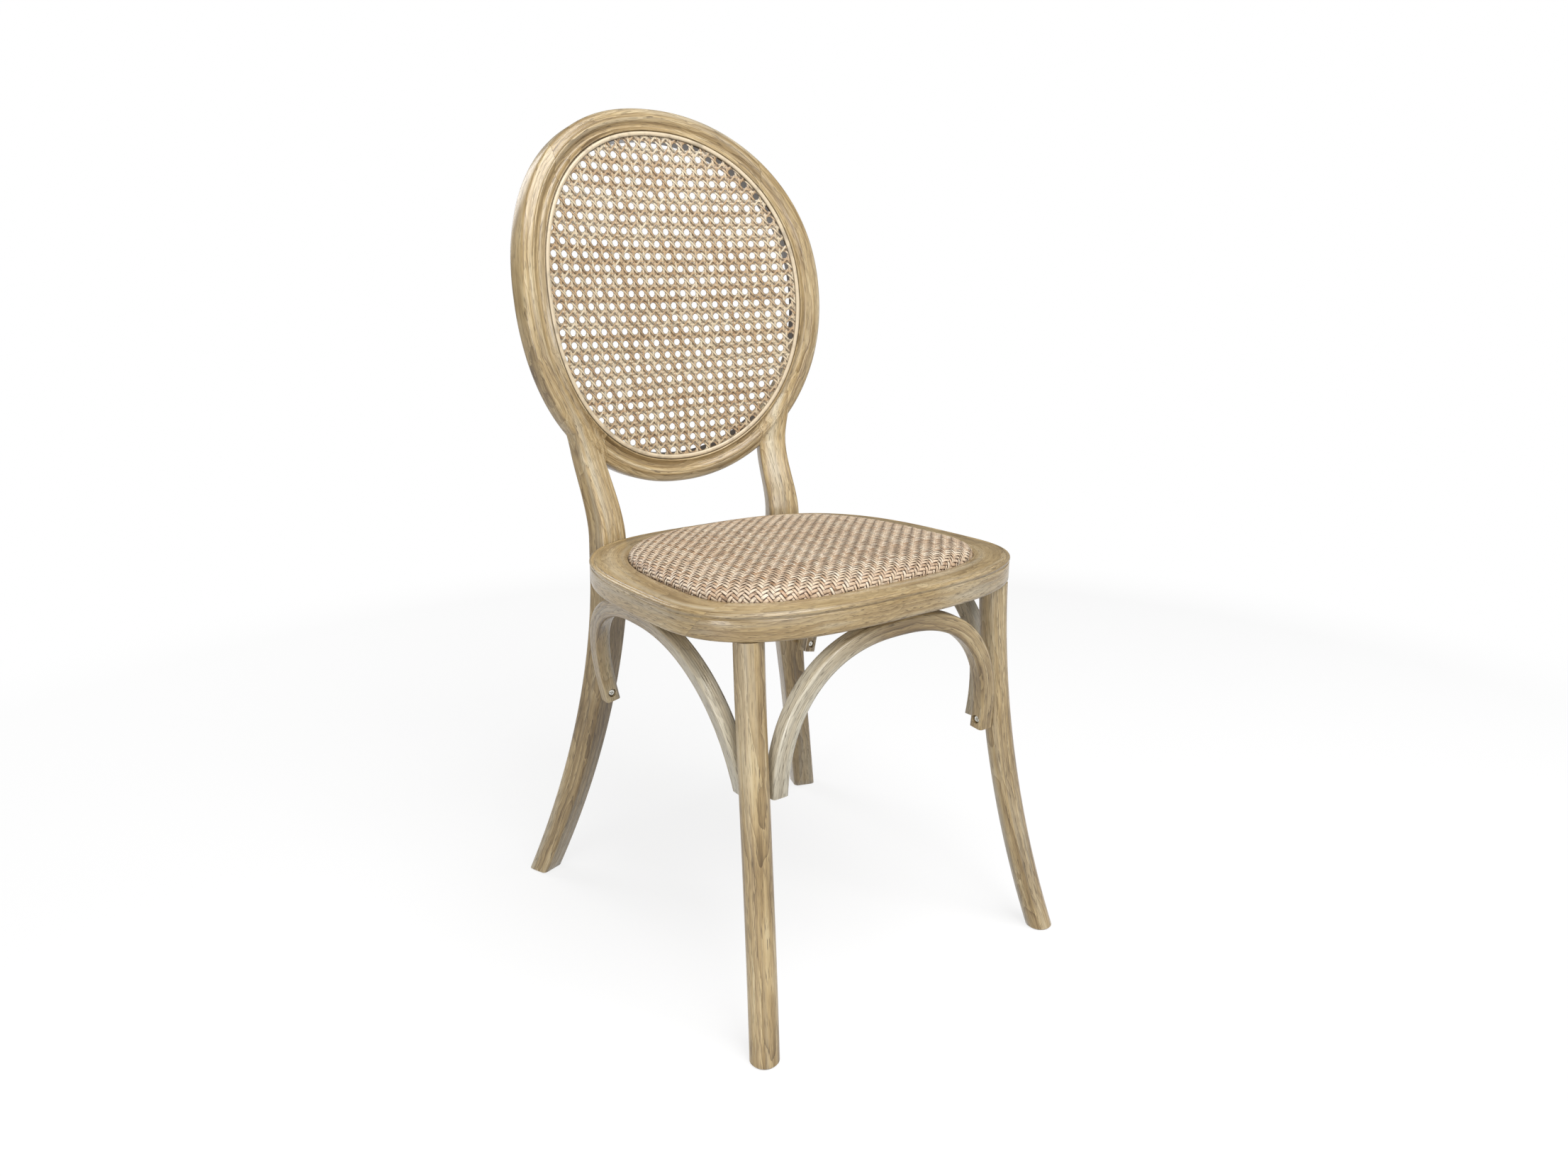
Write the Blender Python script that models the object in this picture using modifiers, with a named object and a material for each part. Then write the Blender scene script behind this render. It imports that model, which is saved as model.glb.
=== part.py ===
"""Dining chair with an oval caned back, a woven seat and three bentwood brackets.

Metres, +Z up, the front of the chair faces -Y. The pieces are laid out from the
middle of the seat, and one empty then carries the whole chair so that the middle
of its footprint lies on the world's origin.
"""
import math

import bmesh
import bpy
import numpy as np
from mathutils import Matrix, Vector
from mathutils.geometry import delaunay_2d_cdt

# Seat ring
SEAT_HEIGHT = 0.460
SEAT_THICKNESS = 0.0294
SEAT_HALF_WIDTH = 0.2275
SEAT_FRONT_REACH = 0.149
SEAT_BACK_REACH = 0.265
SEAT_FRONT_SQUARENESS = 2.87
SEAT_BACK_SQUARENESS = 3.15
RING_SIDE_WIDTH = 0.0395
RING_FRONT_WIDTH = 0.0390
RING_BACK_WIDTH = 0.0310
RING_SIDE_INSET = 0.0010
RING_EDGE_ROUND = 0.0025
RING_BEAD_WIDTH = 0.0046
RING_BEAD_HEIGHT = 0.0055
RING_GROOVE_DEPTH = 0.0012
RING_INNER_ROUND = 0.0010
LEDGE_WIDTH = 0.0100
LEDGE_THICKNESS = 0.0115
FRONT_JOINT_RIGHT_ANGLE = 22.0
FRONT_JOINT_LEFT_ANGLE = 72.0
REAR_JOINT_ANGLE = 158.0

# Woven panel and its board
PANEL_HALF_WIDTH = SEAT_HALF_WIDTH - RING_SIDE_WIDTH
PANEL_FRONT_REACH = SEAT_FRONT_REACH - RING_FRONT_WIDTH
PANEL_BACK_REACH = SEAT_BACK_REACH - RING_BACK_WIDTH
PANEL_SQUARENESS = 2.9
BOARD_THICKNESS = 0.0090
PANEL_CROWN = 0.0210
PANEL_EDGE_DROP = 0.0030
PANEL_CLEARANCE = 0.0006

# Front legs, round, bent outwards at the foot
FRONT_LEG_RADIUS = 0.0161
FRONT_FOOT_RADIUS = 0.0157
FRONT_LEG_INSET_X = 0.0545
FRONT_LEG_INSET_Y = 0.0485
FRONT_LEG_TOP_X = SEAT_HALF_WIDTH - FRONT_LEG_INSET_X
FRONT_LEG_TOP_Y = SEAT_FRONT_REACH - FRONT_LEG_INSET_Y
FRONT_LEG_SPLAY_X = 0.0349
FRONT_LEG_SPLAY_Y = 0.0664
FRONT_LEG_BEND_POWER_X = 2.25
FRONT_LEG_BEND_POWER_Y = 1.85
FOOT_CHAMFER = 0.0020
TENON_RADIUS = 0.0090
TENON_LENGTH = 0.0160

# Rear legs, each one piece with its side of the oval
REAR_LEG_X = 0.1354
REAR_LEG_TURN = 20.0
REAR_LEG_SPLAY_X = 0.0852
REAR_LEG_SPLAY_Y = 0.0696
REAR_LEG_SPLAY_POWER_X = 1.63
REAR_LEG_SPLAY_POWER_Y = 2.0
REAR_LEG_LEAN = 0.0325
REAR_LEG_LEAN_HEIGHT = 0.1100
REAR_LEG_FLARE = 0.0215
REAR_LEG_RISE = 0.1600
REAR_LEG_FOOT_WIDTH = 0.0323
REAR_LEG_FOOT_DEPTH = 0.0300
REAR_LEG_CALF_LEVEL = 0.2000
REAR_LEG_CALF_WIDTH = 0.0315
REAR_LEG_CALF_DEPTH = 0.0350
REAR_LEG_SEAT_WIDTH = 0.0440
REAR_LEG_SEAT_DEPTH = 0.0300
REAR_LEG_TOP_WIDTH = 0.0335
REAR_LEG_TOP_DEPTH = 0.0225
REAR_LEG_CORNER = 0.0045

# Bowed back surface, the level of the cane's front
BACK_BEHIND_SEAT = 0.0084
BACK_SETBACK = SEAT_BACK_REACH + BACK_BEHIND_SEAT
BACK_LEAN = 7.40
BACK_BOW_RADIUS = 0.707
BACK_CURL_RADIUS = 1.658

# Oval opening of the back, and the moulded frame round it
OVAL_HALF_WIDTH = 0.1783
OVAL_LEVEL = 0.2975
OVAL_TOP_RISE = 0.1941
OVAL_BOTTOM_DROP = 0.2046
OVAL_TOP_ROUNDNESS = 2.12
OVAL_BOTTOM_ROUNDNESS = 2.13
FRAME_WIDTH = 0.0367
FRAME_DEPTH = 0.0270
FRAME_RELIEF = 0.0060
FRAME_BACK_ROUND = 0.0050
REBATE_WIDTH = 0.0066
TOP_JOINT_X = 0.1480
BOTTOM_JOINT_X = 0.1170
DOWEL_RADIUS = 0.0040
DOWEL_LENGTH = 0.0240
DOWEL_DEPTH_SHARE = 0.5

# Cane and the reed that locks it in its rebate
CANE_THICKNESS = 0.0015
CANE_PITCH = 0.0255
CANE_HOLE_SHARE = 0.31
CANE_RIM = 0.0060
REED_WIDTH = 0.0056
REED_HEIGHT = 0.0020
REED_SEAT = 0.0005

# Bentwood brackets
BRACKET_THICKNESS = 0.0210
BRACKET_WIDTH = 0.0190
BRACKET_CORNER = 0.0040
BRACKET_END_HEIGHT = 0.2600
BRACKET_SQUARENESS = 2.4
BRACKET_LEG_GAP = 0.0005
LIMB_SHARE = 0.7
CLEARANCE_STEPS = 12
FRONT_BRACKET_LEAN = 6.0
SIDE_BRACKET_LEAN = 12.0
SIDE_BRACKET_FRONT_INSET = 0.0033
SIDE_BRACKET_REAR_OUTSET = 0.0205
SIDE_BRACKET_FRONT_X = FRONT_LEG_TOP_X - SIDE_BRACKET_FRONT_INSET
SIDE_BRACKET_REAR_X = REAR_LEG_X + SIDE_BRACKET_REAR_OUTSET

# Corner blocks
BLOCK_HEIGHT = 0.0290
BLOCK_FRONT_START = 34.0
BLOCK_FRONT_END = 74.0
BLOCK_REAR_START = 118.0
BLOCK_REAR_END = 150.0
BLOCK_REACH_SHARE = 0.72
BLOCK_CLEARANCE = 0.0009

# Fasteners
SCREW_RADIUS = 0.0020
SCREW_HEAD_RADIUS = 0.0042
SCREW_HEAD_HEIGHT = 0.0025
SCREW_RECESS_RADIUS = 0.0015
SCREW_RECESS_DEPTH = 0.0010
SCREW_BITE = 0.0120
COUNTERBORE_RADIUS = 0.0053
COUNTERBORE_DEPTH = 0.0050
END_SCREW_RISE = 0.0110
FRONT_END_SCREW_RISE = 0.0220
BOLT_RADIUS = 0.0030
BOLT_HEAD_RADIUS = 0.0055
BOLT_HEAD_HEIGHT = 0.0050
BOLT_BITE = 0.0180
BOLT_DROP = 0.0140

# Fits
GAP = 0.0003
BORE_CLEARANCE = 0.0003
OVERRUN = 0.0040
WELD = 0.00001

# Where the middle of the footprint lies behind the middle of the seat
FOOTPRINT_SETBACK = 0.1000

# Kind of fill asked of the triangulation: the triangles inside the outline
FILL_INSIDE = 1

# Mesh fineness, in counts
RAIL_STEPS_PER_TURN = 48
OVAL_STEPS = 48
LEG_STEPS = 14
ROUND_SIDES = 16
FINE_SIDES = 10
ARCH_STEPS = 20

OAK_COLOUR = (0.40, 0.29, 0.16)
CANE_COLOUR = (0.60, 0.44, 0.25)
PLY_COLOUR = (0.50, 0.38, 0.22)
ZINC_COLOUR = (0.62, 0.62, 0.60)

SEAT_UNDERSIDE = SEAT_HEIGHT - SEAT_THICKNESS
LEDGE_LEVEL = SEAT_UNDERSIDE + LEDGE_THICKNESS
BOARD_TOP = LEDGE_LEVEL + GAP + BOARD_THICKNESS


def clear_scene():
    for item in list(bpy.data.objects):
        bpy.data.objects.remove(item)


def new_collection(name):
    collection = bpy.data.collections.new(name)
    bpy.context.scene.collection.children.link(collection)
    return collection


def finish(name, colour, roughness, metallic):
    material = bpy.data.materials.new(name)
    material.use_nodes = True
    shader = material.node_tree.nodes["Principled BSDF"]
    shader.inputs["Base Color"].default_value = (*colour, 1.0)
    shader.inputs["Roughness"].default_value = roughness
    shader.inputs["Metallic"].default_value = metallic
    return material


clear_scene()
parts = new_collection("rattan_dining_chair")
cutters = new_collection("cutters")
chair = bpy.data.objects.new("chair_origin", None)
chair.location = (0.0, -FOOTPRINT_SETBACK, 0.0)
parts.objects.link(chair)

oak = finish("limed_oak", OAK_COLOUR, 0.5, 0.0)
cane = finish("natural_cane", CANE_COLOUR, 0.55, 0.0)
ply = finish("plywood", PLY_COLOUR, 0.6, 0.0)
zinc = finish("zinc_steel", ZINC_COLOUR, 0.35, 1.0)


def add_piece(name, mesh, material):
    """Put a finished mesh in the chair as one named piece."""
    piece = bpy.data.objects.new(name, mesh)
    piece.parent = chair
    parts.objects.link(piece)
    mesh.materials.clear()
    mesh.materials.append(material)
    mesh.shade_smooth()
    mesh.set_sharp_from_angle(angle=math.radians(35.0))
    return piece


def add_cutter(name, mesh):
    cutter = bpy.data.objects.new(name, mesh)
    cutter.parent = chair
    cutter.hide_render = True
    cutter.display_type = "WIRE"
    cutters.objects.link(cutter)
    return cutter


def shape_with(piece, tool, operation):
    modifier = piece.modifiers.new(operation.lower() + "_" + tool.name, "BOOLEAN")
    modifier.operation = operation
    modifier.solver = "EXACT"
    modifier.object = tool


def mesh_of(item):
    """The evaluated shape of an object, welded, with its faces pointing outwards."""
    bpy.context.view_layer.update()
    graph = bpy.context.evaluated_depsgraph_get()
    mesh = bpy.data.meshes.new_from_object(item.evaluated_get(graph))
    shape = bmesh.new()
    shape.from_mesh(mesh)
    bmesh.ops.remove_doubles(shape, verts=shape.verts, dist=WELD)
    bmesh.ops.recalc_face_normals(shape, faces=shape.faces)
    shape.to_mesh(mesh)
    shape.free()
    return mesh


def flat_curve(name, outlines):
    """A 2D curve with one closed straight-sided spline for each outline."""
    data = bpy.data.curves.new(name, "CURVE")
    data.dimensions = "2D"
    for outline in outlines:
        spline = data.splines.new("POLY")
        spline.points.add(len(outline) - 1)
        spline.use_cyclic_u = True
        for point, (across, up) in zip(spline.points, outline):
            point.co = (across, up, 0.0, 1.0)
    item = bpy.data.objects.new(name, data)
    cutters.objects.link(item)
    return item


def plate_mesh(name, outlines, thickness):
    """A flat plate with its middle at height 0; inner outlines are its holes."""
    item = flat_curve(name, outlines)
    item.data.fill_mode = "BOTH"
    item.data.extrude = thickness / 2
    mesh = mesh_of(item)
    bpy.data.objects.remove(item)
    return mesh


def swept_mesh(name, path, section, closed):
    """A flat path with a section swept along it: section x is outwards, y is up."""
    rail = flat_curve(name, [path])
    rail.data.splines[0].use_cyclic_u = closed
    profile = flat_curve(name + "_section", [[(-out, up) for out, up in section]])
    rail.data.bevel_mode = "OBJECT"
    rail.data.bevel_object = profile
    rail.data.use_fill_caps = not closed
    mesh = mesh_of(rail)
    bpy.data.objects.remove(rail)
    bpy.data.objects.remove(profile)
    return mesh


def loft_mesh(name, rings):
    """Join unlike sections of equal point count, and cap both ends."""
    count = len(rings[0])
    points = [tuple(point) for ring in rings for point in ring]
    faces = []
    for level in range(len(rings) - 1):
        low, high = level * count, (level + 1) * count
        for step in range(count):
            after = (step + 1) % count
            faces.append((low + step, low + after, high + after, high + step))
    faces.append(tuple(range(count)))
    faces.append(tuple(range(len(points) - count, len(points))))
    mesh = bpy.data.meshes.new(name)
    mesh.from_pydata(points, [], faces)
    shape = bmesh.new()
    shape.from_mesh(mesh)
    bmesh.ops.recalc_face_normals(shape, faces=shape.faces)
    shape.to_mesh(mesh)
    shape.free()
    return mesh


def rod_mesh(name, start, end, radius, sides=FINE_SIDES):
    """A round rod between two points."""
    start, end = Vector(start), Vector(end)
    axis = end - start
    turn = axis.to_track_quat("Z", "Y").to_matrix().to_4x4()
    shape = bmesh.new()
    bmesh.ops.create_cone(shape, cap_ends=True, segments=sides, radius1=radius,
                          radius2=radius, depth=axis.length,
                          matrix=Matrix.Translation((start + end) / 2) @ turn)
    mesh = bpy.data.meshes.new(name)
    shape.to_mesh(mesh)
    shape.free()
    return mesh


def box_mesh(name, low, high):
    low, high = Vector(low), Vector(high)
    shape = bmesh.new()
    bmesh.ops.create_cube(shape, size=1.0)
    bmesh.ops.scale(shape, vec=high - low, verts=shape.verts)
    bmesh.ops.translate(shape, vec=(low + high) / 2, verts=shape.verts)
    mesh = bpy.data.meshes.new(name)
    shape.to_mesh(mesh)
    shape.free()
    return mesh


def bore(name, pieces, start, end, radius):
    """Drill the same round hole through each of the pieces."""
    drill = add_cutter(name, rod_mesh(name, start, end, radius))
    for piece in pieces:
        shape_with(piece, drill, "DIFFERENCE")


def rounded_rectangle(width, depth, corner, steps=2):
    """Outline of a rectangle with round corners, centred on 0, 0."""
    outline = []
    for quarter in range(4):
        middle = math.radians(45.0 + 90.0 * quarter)
        centre_x = math.copysign(width / 2 - corner, math.cos(middle))
        centre_y = math.copysign(depth / 2 - corner, math.sin(middle))
        for step in range(steps + 1):
            angle = middle + math.radians(90.0) * (step / steps - 0.5)
            outline.append((centre_x + corner * math.cos(angle),
                            centre_y + corner * math.sin(angle)))
    return outline


# Outlines of the seat

def squared_radius(angle, half_width, front, back, front_power, back_power):
    """Distance from the seat's middle to a squared oval, angle from the front."""
    reach, power = (front, front_power) if math.cos(angle) > 0 else (back, back_power)
    across = abs(math.sin(angle)) / half_width
    along = abs(math.cos(angle)) / reach
    return (across ** power + along ** power) ** (-1.0 / power)


def seat_radius(angle):
    return squared_radius(angle, SEAT_HALF_WIDTH, SEAT_FRONT_REACH, SEAT_BACK_REACH,
                          SEAT_FRONT_SQUARENESS, SEAT_BACK_SQUARENESS)


def panel_radius(angle):
    return squared_radius(angle, PANEL_HALF_WIDTH, PANEL_FRONT_REACH, PANEL_BACK_REACH,
                          PANEL_SQUARENESS, PANEL_SQUARENESS)


def at_angle(angle, radius, height):
    return (radius * math.sin(angle), -radius * math.cos(angle), height)


def turn_steps(count):
    return [2.0 * math.pi * step / count for step in range(count)]


def ring_section(angle):
    """Radius and height of the seat rail's section, from the outer underside round."""
    edge = seat_radius(angle)
    side = edge - RING_SIDE_INSET
    mouth = panel_radius(angle)
    bead_base = SEAT_HEIGHT - RING_BEAD_HEIGHT
    groove = edge - RING_BEAD_WIDTH
    return [
        (side - RING_EDGE_ROUND, SEAT_UNDERSIDE),
        (side, SEAT_UNDERSIDE + RING_EDGE_ROUND),
        (side, bead_base - RING_SIDE_INSET),
        (edge, bead_base),
        (edge, bead_base + RING_EDGE_ROUND),
        (edge - RING_GROOVE_DEPTH, SEAT_HEIGHT - RING_GROOVE_DEPTH),
        (groove, SEAT_HEIGHT - RING_GROOVE_DEPTH),
        (groove - RING_INNER_ROUND, SEAT_HEIGHT),
        (mouth + RING_INNER_ROUND, SEAT_HEIGHT),
        (mouth, SEAT_HEIGHT - RING_INNER_ROUND),
        (mouth, LEDGE_LEVEL),
        (mouth - LEDGE_WIDTH, LEDGE_LEVEL),
        (mouth - LEDGE_WIDTH, SEAT_UNDERSIDE),
    ]


def make_seat_rail(name, start, end):
    """One length of the seat ring, between two joints given as angles in degrees."""
    trim = math.degrees(GAP / 2 / SEAT_HALF_WIDTH)
    pitch = 360.0 / RAIL_STEPS_PER_TURN
    first, last = math.floor(start / pitch) + 1, math.ceil(end / pitch)
    degrees = [start + trim] + [pitch * step for step in range(first, last)] + [end - trim]
    rings = []
    for angle in np.radians(degrees):
        rings.append([at_angle(angle, radius, height)
                      for radius, height in ring_section(angle)])
    return add_piece(name, loft_mesh(name, rings), oak)


def make_seat_board():
    outline = [at_angle(angle, panel_radius(angle) - PANEL_CLEARANCE, 0.0)[:2]
               for angle in turn_steps(RAIL_STEPS_PER_TURN)]
    board = add_piece("seat_board", plate_mesh("seat_board", [outline], BOARD_THICKNESS), ply)
    board.location.z = BOARD_TOP - BOARD_THICKNESS / 2
    return board


PAD_CROWN_SHARES = (
    (1.000, 0.00), (0.990, 0.24), (0.965, 0.44), (0.920, 0.61), (0.840, 0.76),
    (0.720, 0.87), (0.560, 0.94), (0.370, 0.98), (0.180, 1.00),
)


def make_woven_panel():
    """The woven seat: upright rim in the ring's mouth, then a low crown."""
    edge_height = SEAT_HEIGHT - PANEL_EDGE_DROP
    rise = PANEL_CROWN + PANEL_EDGE_DROP
    angles = turn_steps(RAIL_STEPS_PER_TURN)

    def ring(share, height):
        return [at_angle(angle, (panel_radius(angle) - PANEL_CLEARANCE) * share, height)
                for angle in angles]

    rings = [ring(1.0, BOARD_TOP + GAP)]
    rings += [ring(share, edge_height + rise * lift) for share, lift in PAD_CROWN_SHARES]
    return add_piece("seat_woven_panel", loft_mesh("seat_woven_panel", rings), cane)


# Front legs

def front_leg_centre(height):
    """Centre of a front leg, as distances from the middle: sideways and forwards."""
    fall = max(0.0, 1.0 - height / SEAT_UNDERSIDE)
    return (FRONT_LEG_TOP_X + FRONT_LEG_SPLAY_X * fall ** FRONT_LEG_BEND_POWER_X,
            -FRONT_LEG_TOP_Y - FRONT_LEG_SPLAY_Y * fall ** FRONT_LEG_BEND_POWER_Y)


def make_front_leg(name, side):
    top = SEAT_UNDERSIDE - GAP
    levels = [(0.0, FRONT_FOOT_RADIUS - FOOT_CHAMFER)]
    for share in np.linspace(0.0, 1.0, LEG_STEPS):
        radius = FRONT_FOOT_RADIUS + (FRONT_LEG_RADIUS - FRONT_FOOT_RADIUS) * share
        levels.append((FOOT_CHAMFER + (top - FOOT_CHAMFER) * share, radius))
    levels += [(top, TENON_RADIUS), (top + TENON_LENGTH, TENON_RADIUS)]
    rings = []
    for height, radius in levels:
        centre_x, centre_y = front_leg_centre(min(height, top))
        rings.append([(side * centre_x + radius * math.cos(angle),
                       centre_y + radius * math.sin(angle), height)
                      for angle in turn_steps(ROUND_SIDES)])
    return add_piece(name, loft_mesh(name, rings), oak)


def cut_tenon_socket(name, rail, side):
    centre_x, centre_y = front_leg_centre(SEAT_UNDERSIDE)
    start = (side * centre_x, centre_y, SEAT_UNDERSIDE - OVERRUN)
    end = (side * centre_x, centre_y, SEAT_UNDERSIDE + TENON_LENGTH + GAP)
    cutter = rod_mesh(name, start, end, TENON_RADIUS + BORE_CLEARANCE, ROUND_SIDES)
    shape_with(rail, add_cutter(name, cutter), "DIFFERENCE")


# Back surface and oval frame

def on_back(across, up, proud):
    """A point on the bowed back: up the lean from the seat, proud towards the front."""
    lean = math.radians(BACK_LEAN)
    along = Vector((0.0, math.sin(lean), math.cos(lean)))
    behind = Vector((0.0, math.cos(lean), -math.sin(lean)))
    sideways = Vector((1.0, 0.0, 0.0))
    bow = -across ** 2 / (2 * BACK_BOW_RADIUS)
    curl = (up - OVAL_LEVEL) ** 2 / (2 * BACK_CURL_RADIUS)
    foot = Vector((0.0, BACK_SETBACK, SEAT_HEIGHT))
    point = foot + across * sideways + up * along + (bow + curl) * behind
    slope_across = -across / BACK_BOW_RADIUS
    slope_up = (up - OVAL_LEVEL) / BACK_CURL_RADIUS
    normal = (behind - slope_across * sideways - slope_up * along).normalized()
    return point - proud * normal


def bend_to_back(mesh):
    """Lay a flat mesh, drawn as across, up and proud, on the bowed back."""
    for vertex in mesh.vertices:
        vertex.co = on_back(*vertex.co)
    return mesh


def oval_outline(count, offset=0.0):
    """The oval opening, anticlockwise from its right side, grown by an offset."""
    outline = []
    for angle in turn_steps(count):
        up = math.sin(angle) >= 0
        reach = OVAL_TOP_RISE if up else OVAL_BOTTOM_DROP
        power = OVAL_TOP_ROUNDNESS if up else OVAL_BOTTOM_ROUNDNESS
        across_share, up_share = math.cos(angle), math.sin(angle)
        radius = (abs(across_share) ** power + abs(up_share) ** power) ** (-1.0 / power)
        across = (OVAL_HALF_WIDTH + offset) * radius * across_share
        outline.append((across, OVAL_LEVEL + (reach + offset) * radius * up_share))
    return outline


FRAME_FACE_SHARES = (
    (0.215, 0.27), (0.275, 0.33), (0.335, -0.20), (0.430, -0.43), (0.520, -0.33),
    (0.610, 0.10), (0.720, 0.15), (0.800, -0.20), (0.915, -0.27), (0.985, -0.75),
)


def frame_section():
    """Section of the oval frame: outwards from the cane, and up from its front."""
    rebate = -CANE_THICKNESS - GAP
    section = [(0.0, rebate), (REBATE_WIDTH, rebate)]
    section += [(FRAME_WIDTH * out, FRAME_RELIEF * lift) for out, lift in FRAME_FACE_SHARES]
    section += [
        (FRAME_WIDTH, -FRAME_RELIEF - FRAME_BACK_ROUND),
        (FRAME_WIDTH, -FRAME_DEPTH + FRAME_BACK_ROUND),
        (FRAME_WIDTH - FRAME_BACK_ROUND, -FRAME_DEPTH),
        (FRAME_BACK_ROUND, -FRAME_DEPTH),
        (0.0, -FRAME_DEPTH + FRAME_BACK_ROUND),
    ]
    return section


def joint_cutter(name, half_width, upper, margin):
    """A tall box between the two upright joints of the top or the bottom rail."""
    middle = on_back(0.0, OVAL_LEVEL, 0.0)
    reach = OVAL_BOTTOM_DROP + OVAL_TOP_RISE
    low_z = middle.z if upper else middle.z - reach
    high_z = middle.z + reach if upper else middle.z
    half = half_width + margin
    low = (-half, middle.y - reach, low_z)
    high = (half, middle.y + reach, high_z)
    return add_cutter(name, box_mesh(name, low, high))


def oval_frame_mesh(name):
    return bend_to_back(swept_mesh(name, oval_outline(OVAL_STEPS), frame_section(), True))


def make_oval_rail(name, half_width, upper):
    rail = add_piece(name, oval_frame_mesh(name), oak)
    shape_with(rail, joint_cutter(name + "_ends", half_width, upper, 0.0), "INTERSECT")
    return rail


def make_oval_side(side):
    """The length of the oval that is worked on one rear leg."""
    name = "oval_side_right" if side > 0 else "oval_side_left"
    shape = add_cutter(name, oval_frame_mesh(name))
    middle = on_back(0.0, OVAL_LEVEL, 0.0)
    reach = OVAL_BOTTOM_DROP + OVAL_TOP_RISE
    low_x, high_x = sorted((0.0, side * reach))
    half = box_mesh(name + "_half", (low_x, middle.y - reach, middle.z - reach),
                    (high_x, middle.y + reach, middle.z + reach))
    bounds = add_cutter(name + "_half", half)
    shape_with(shape, bounds, "INTERSECT")
    shape_with(shape, joint_cutter(name + "_top", TOP_JOINT_X, True, GAP), "DIFFERENCE")
    shape_with(shape, joint_cutter(name + "_foot", BOTTOM_JOINT_X, False, GAP), "DIFFERENCE")
    return shape


# Rear legs

def seat_support(turn):
    """How far the seat ring reaches in a direction turned from straight back."""
    steps = [math.radians(90.0 + step) for step in range(91)]
    corners = [at_angle(angle, seat_radius(angle), 0.0) for angle in steps]
    return max(x * math.sin(turn) + y * math.cos(turn) for x, y, _ in corners)


def rear_leg_seat_y():
    """The leg's front face just clears the seat ring."""
    turn = math.radians(REAR_LEG_TURN)
    clear = seat_support(turn) + GAP + REAR_LEG_SEAT_DEPTH / 2
    return (clear - REAR_LEG_X * math.sin(turn)) / math.cos(turn)


def rear_leg_centre(height):
    """Centre of a rear leg, sideways and back, at a height above the floor."""
    fall = max(0.0, 1.0 - height / SEAT_UNDERSIDE)
    rise = min(1.0, max(0.0, (height - SEAT_HEIGHT) / REAR_LEG_RISE))
    lean = min(1.0, max(0.0, (height - SEAT_HEIGHT) / REAR_LEG_LEAN_HEIGHT))
    across = (REAR_LEG_X + REAR_LEG_SPLAY_X * fall ** REAR_LEG_SPLAY_POWER_X
              + REAR_LEG_FLARE * rise ** 3)
    back = (rear_leg_seat_y() + REAR_LEG_SPLAY_Y * fall ** REAR_LEG_SPLAY_POWER_Y
            + REAR_LEG_LEAN * lean * lean * (3 - 2 * lean))
    return across, back


def rear_leg_section(height):
    """Width and depth of a rear leg at a height."""
    levels = (0.0, REAR_LEG_CALF_LEVEL, SEAT_UNDERSIDE, SEAT_HEIGHT + REAR_LEG_RISE)
    widths = (REAR_LEG_FOOT_WIDTH, REAR_LEG_CALF_WIDTH, REAR_LEG_SEAT_WIDTH,
              REAR_LEG_TOP_WIDTH)
    depths = (REAR_LEG_FOOT_DEPTH, REAR_LEG_CALF_DEPTH, REAR_LEG_SEAT_DEPTH,
              REAR_LEG_TOP_DEPTH)
    return np.interp(height, levels, widths), np.interp(height, levels, depths)


def rear_leg_mesh(name, side):
    turn = math.radians(REAR_LEG_TURN)
    top = SEAT_HEIGHT + REAR_LEG_RISE
    heights = [0.0, FOOT_CHAMFER]
    heights += [FOOT_CHAMFER + (top - FOOT_CHAMFER) * share
                for share in np.linspace(0.0, 1.0, LEG_STEPS + 2)[1:]]
    rings = []
    for height in heights:
        width, depth = rear_leg_section(height)
        if height == 0.0:
            width, depth = width - 2 * FOOT_CHAMFER, depth - 2 * FOOT_CHAMFER
        centre_x, centre_y = rear_leg_centre(height)
        ring = []
        for across, back in rounded_rectangle(width, depth, REAR_LEG_CORNER):
            x = centre_x + across * math.cos(turn) + back * math.sin(turn)
            y = centre_y - across * math.sin(turn) + back * math.cos(turn)
            ring.append((side * x, y, height))
        rings.append(ring)
    return loft_mesh(name, rings)


def make_rear_leg(name, side):
    leg = add_piece(name, rear_leg_mesh(name, side), oak)
    shape_with(leg, make_oval_side(side), "UNION")
    return leg


# Cane and reed

def cane_holes():
    """Eight-sided holes of the cane, on a square grid, all inside the rim."""
    reach = CANE_HOLE_SHARE * CANE_PITCH
    columns = int(OVAL_HALF_WIDTH / CANE_PITCH)
    rows = int(OVAL_BOTTOM_DROP / CANE_PITCH)
    holes = []
    for row in range(-rows, rows + 1):
        for column in range(-columns, columns + 1):
            across, up = column * CANE_PITCH, row * CANE_PITCH
            span_x = OVAL_HALF_WIDTH - reach - CANE_RIM / 2
            span_y = (OVAL_TOP_RISE if up >= 0 else OVAL_BOTTOM_DROP) - reach - CANE_RIM / 2
            if (across / span_x) ** 2 + (up / span_y) ** 2 > 1.0:
                continue
            holes.append([(across + reach * math.cos(angle + math.pi / 8),
                           OVAL_LEVEL + up + reach * math.sin(angle + math.pi / 8))
                          for angle in turn_steps(8)])
    return holes


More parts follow.
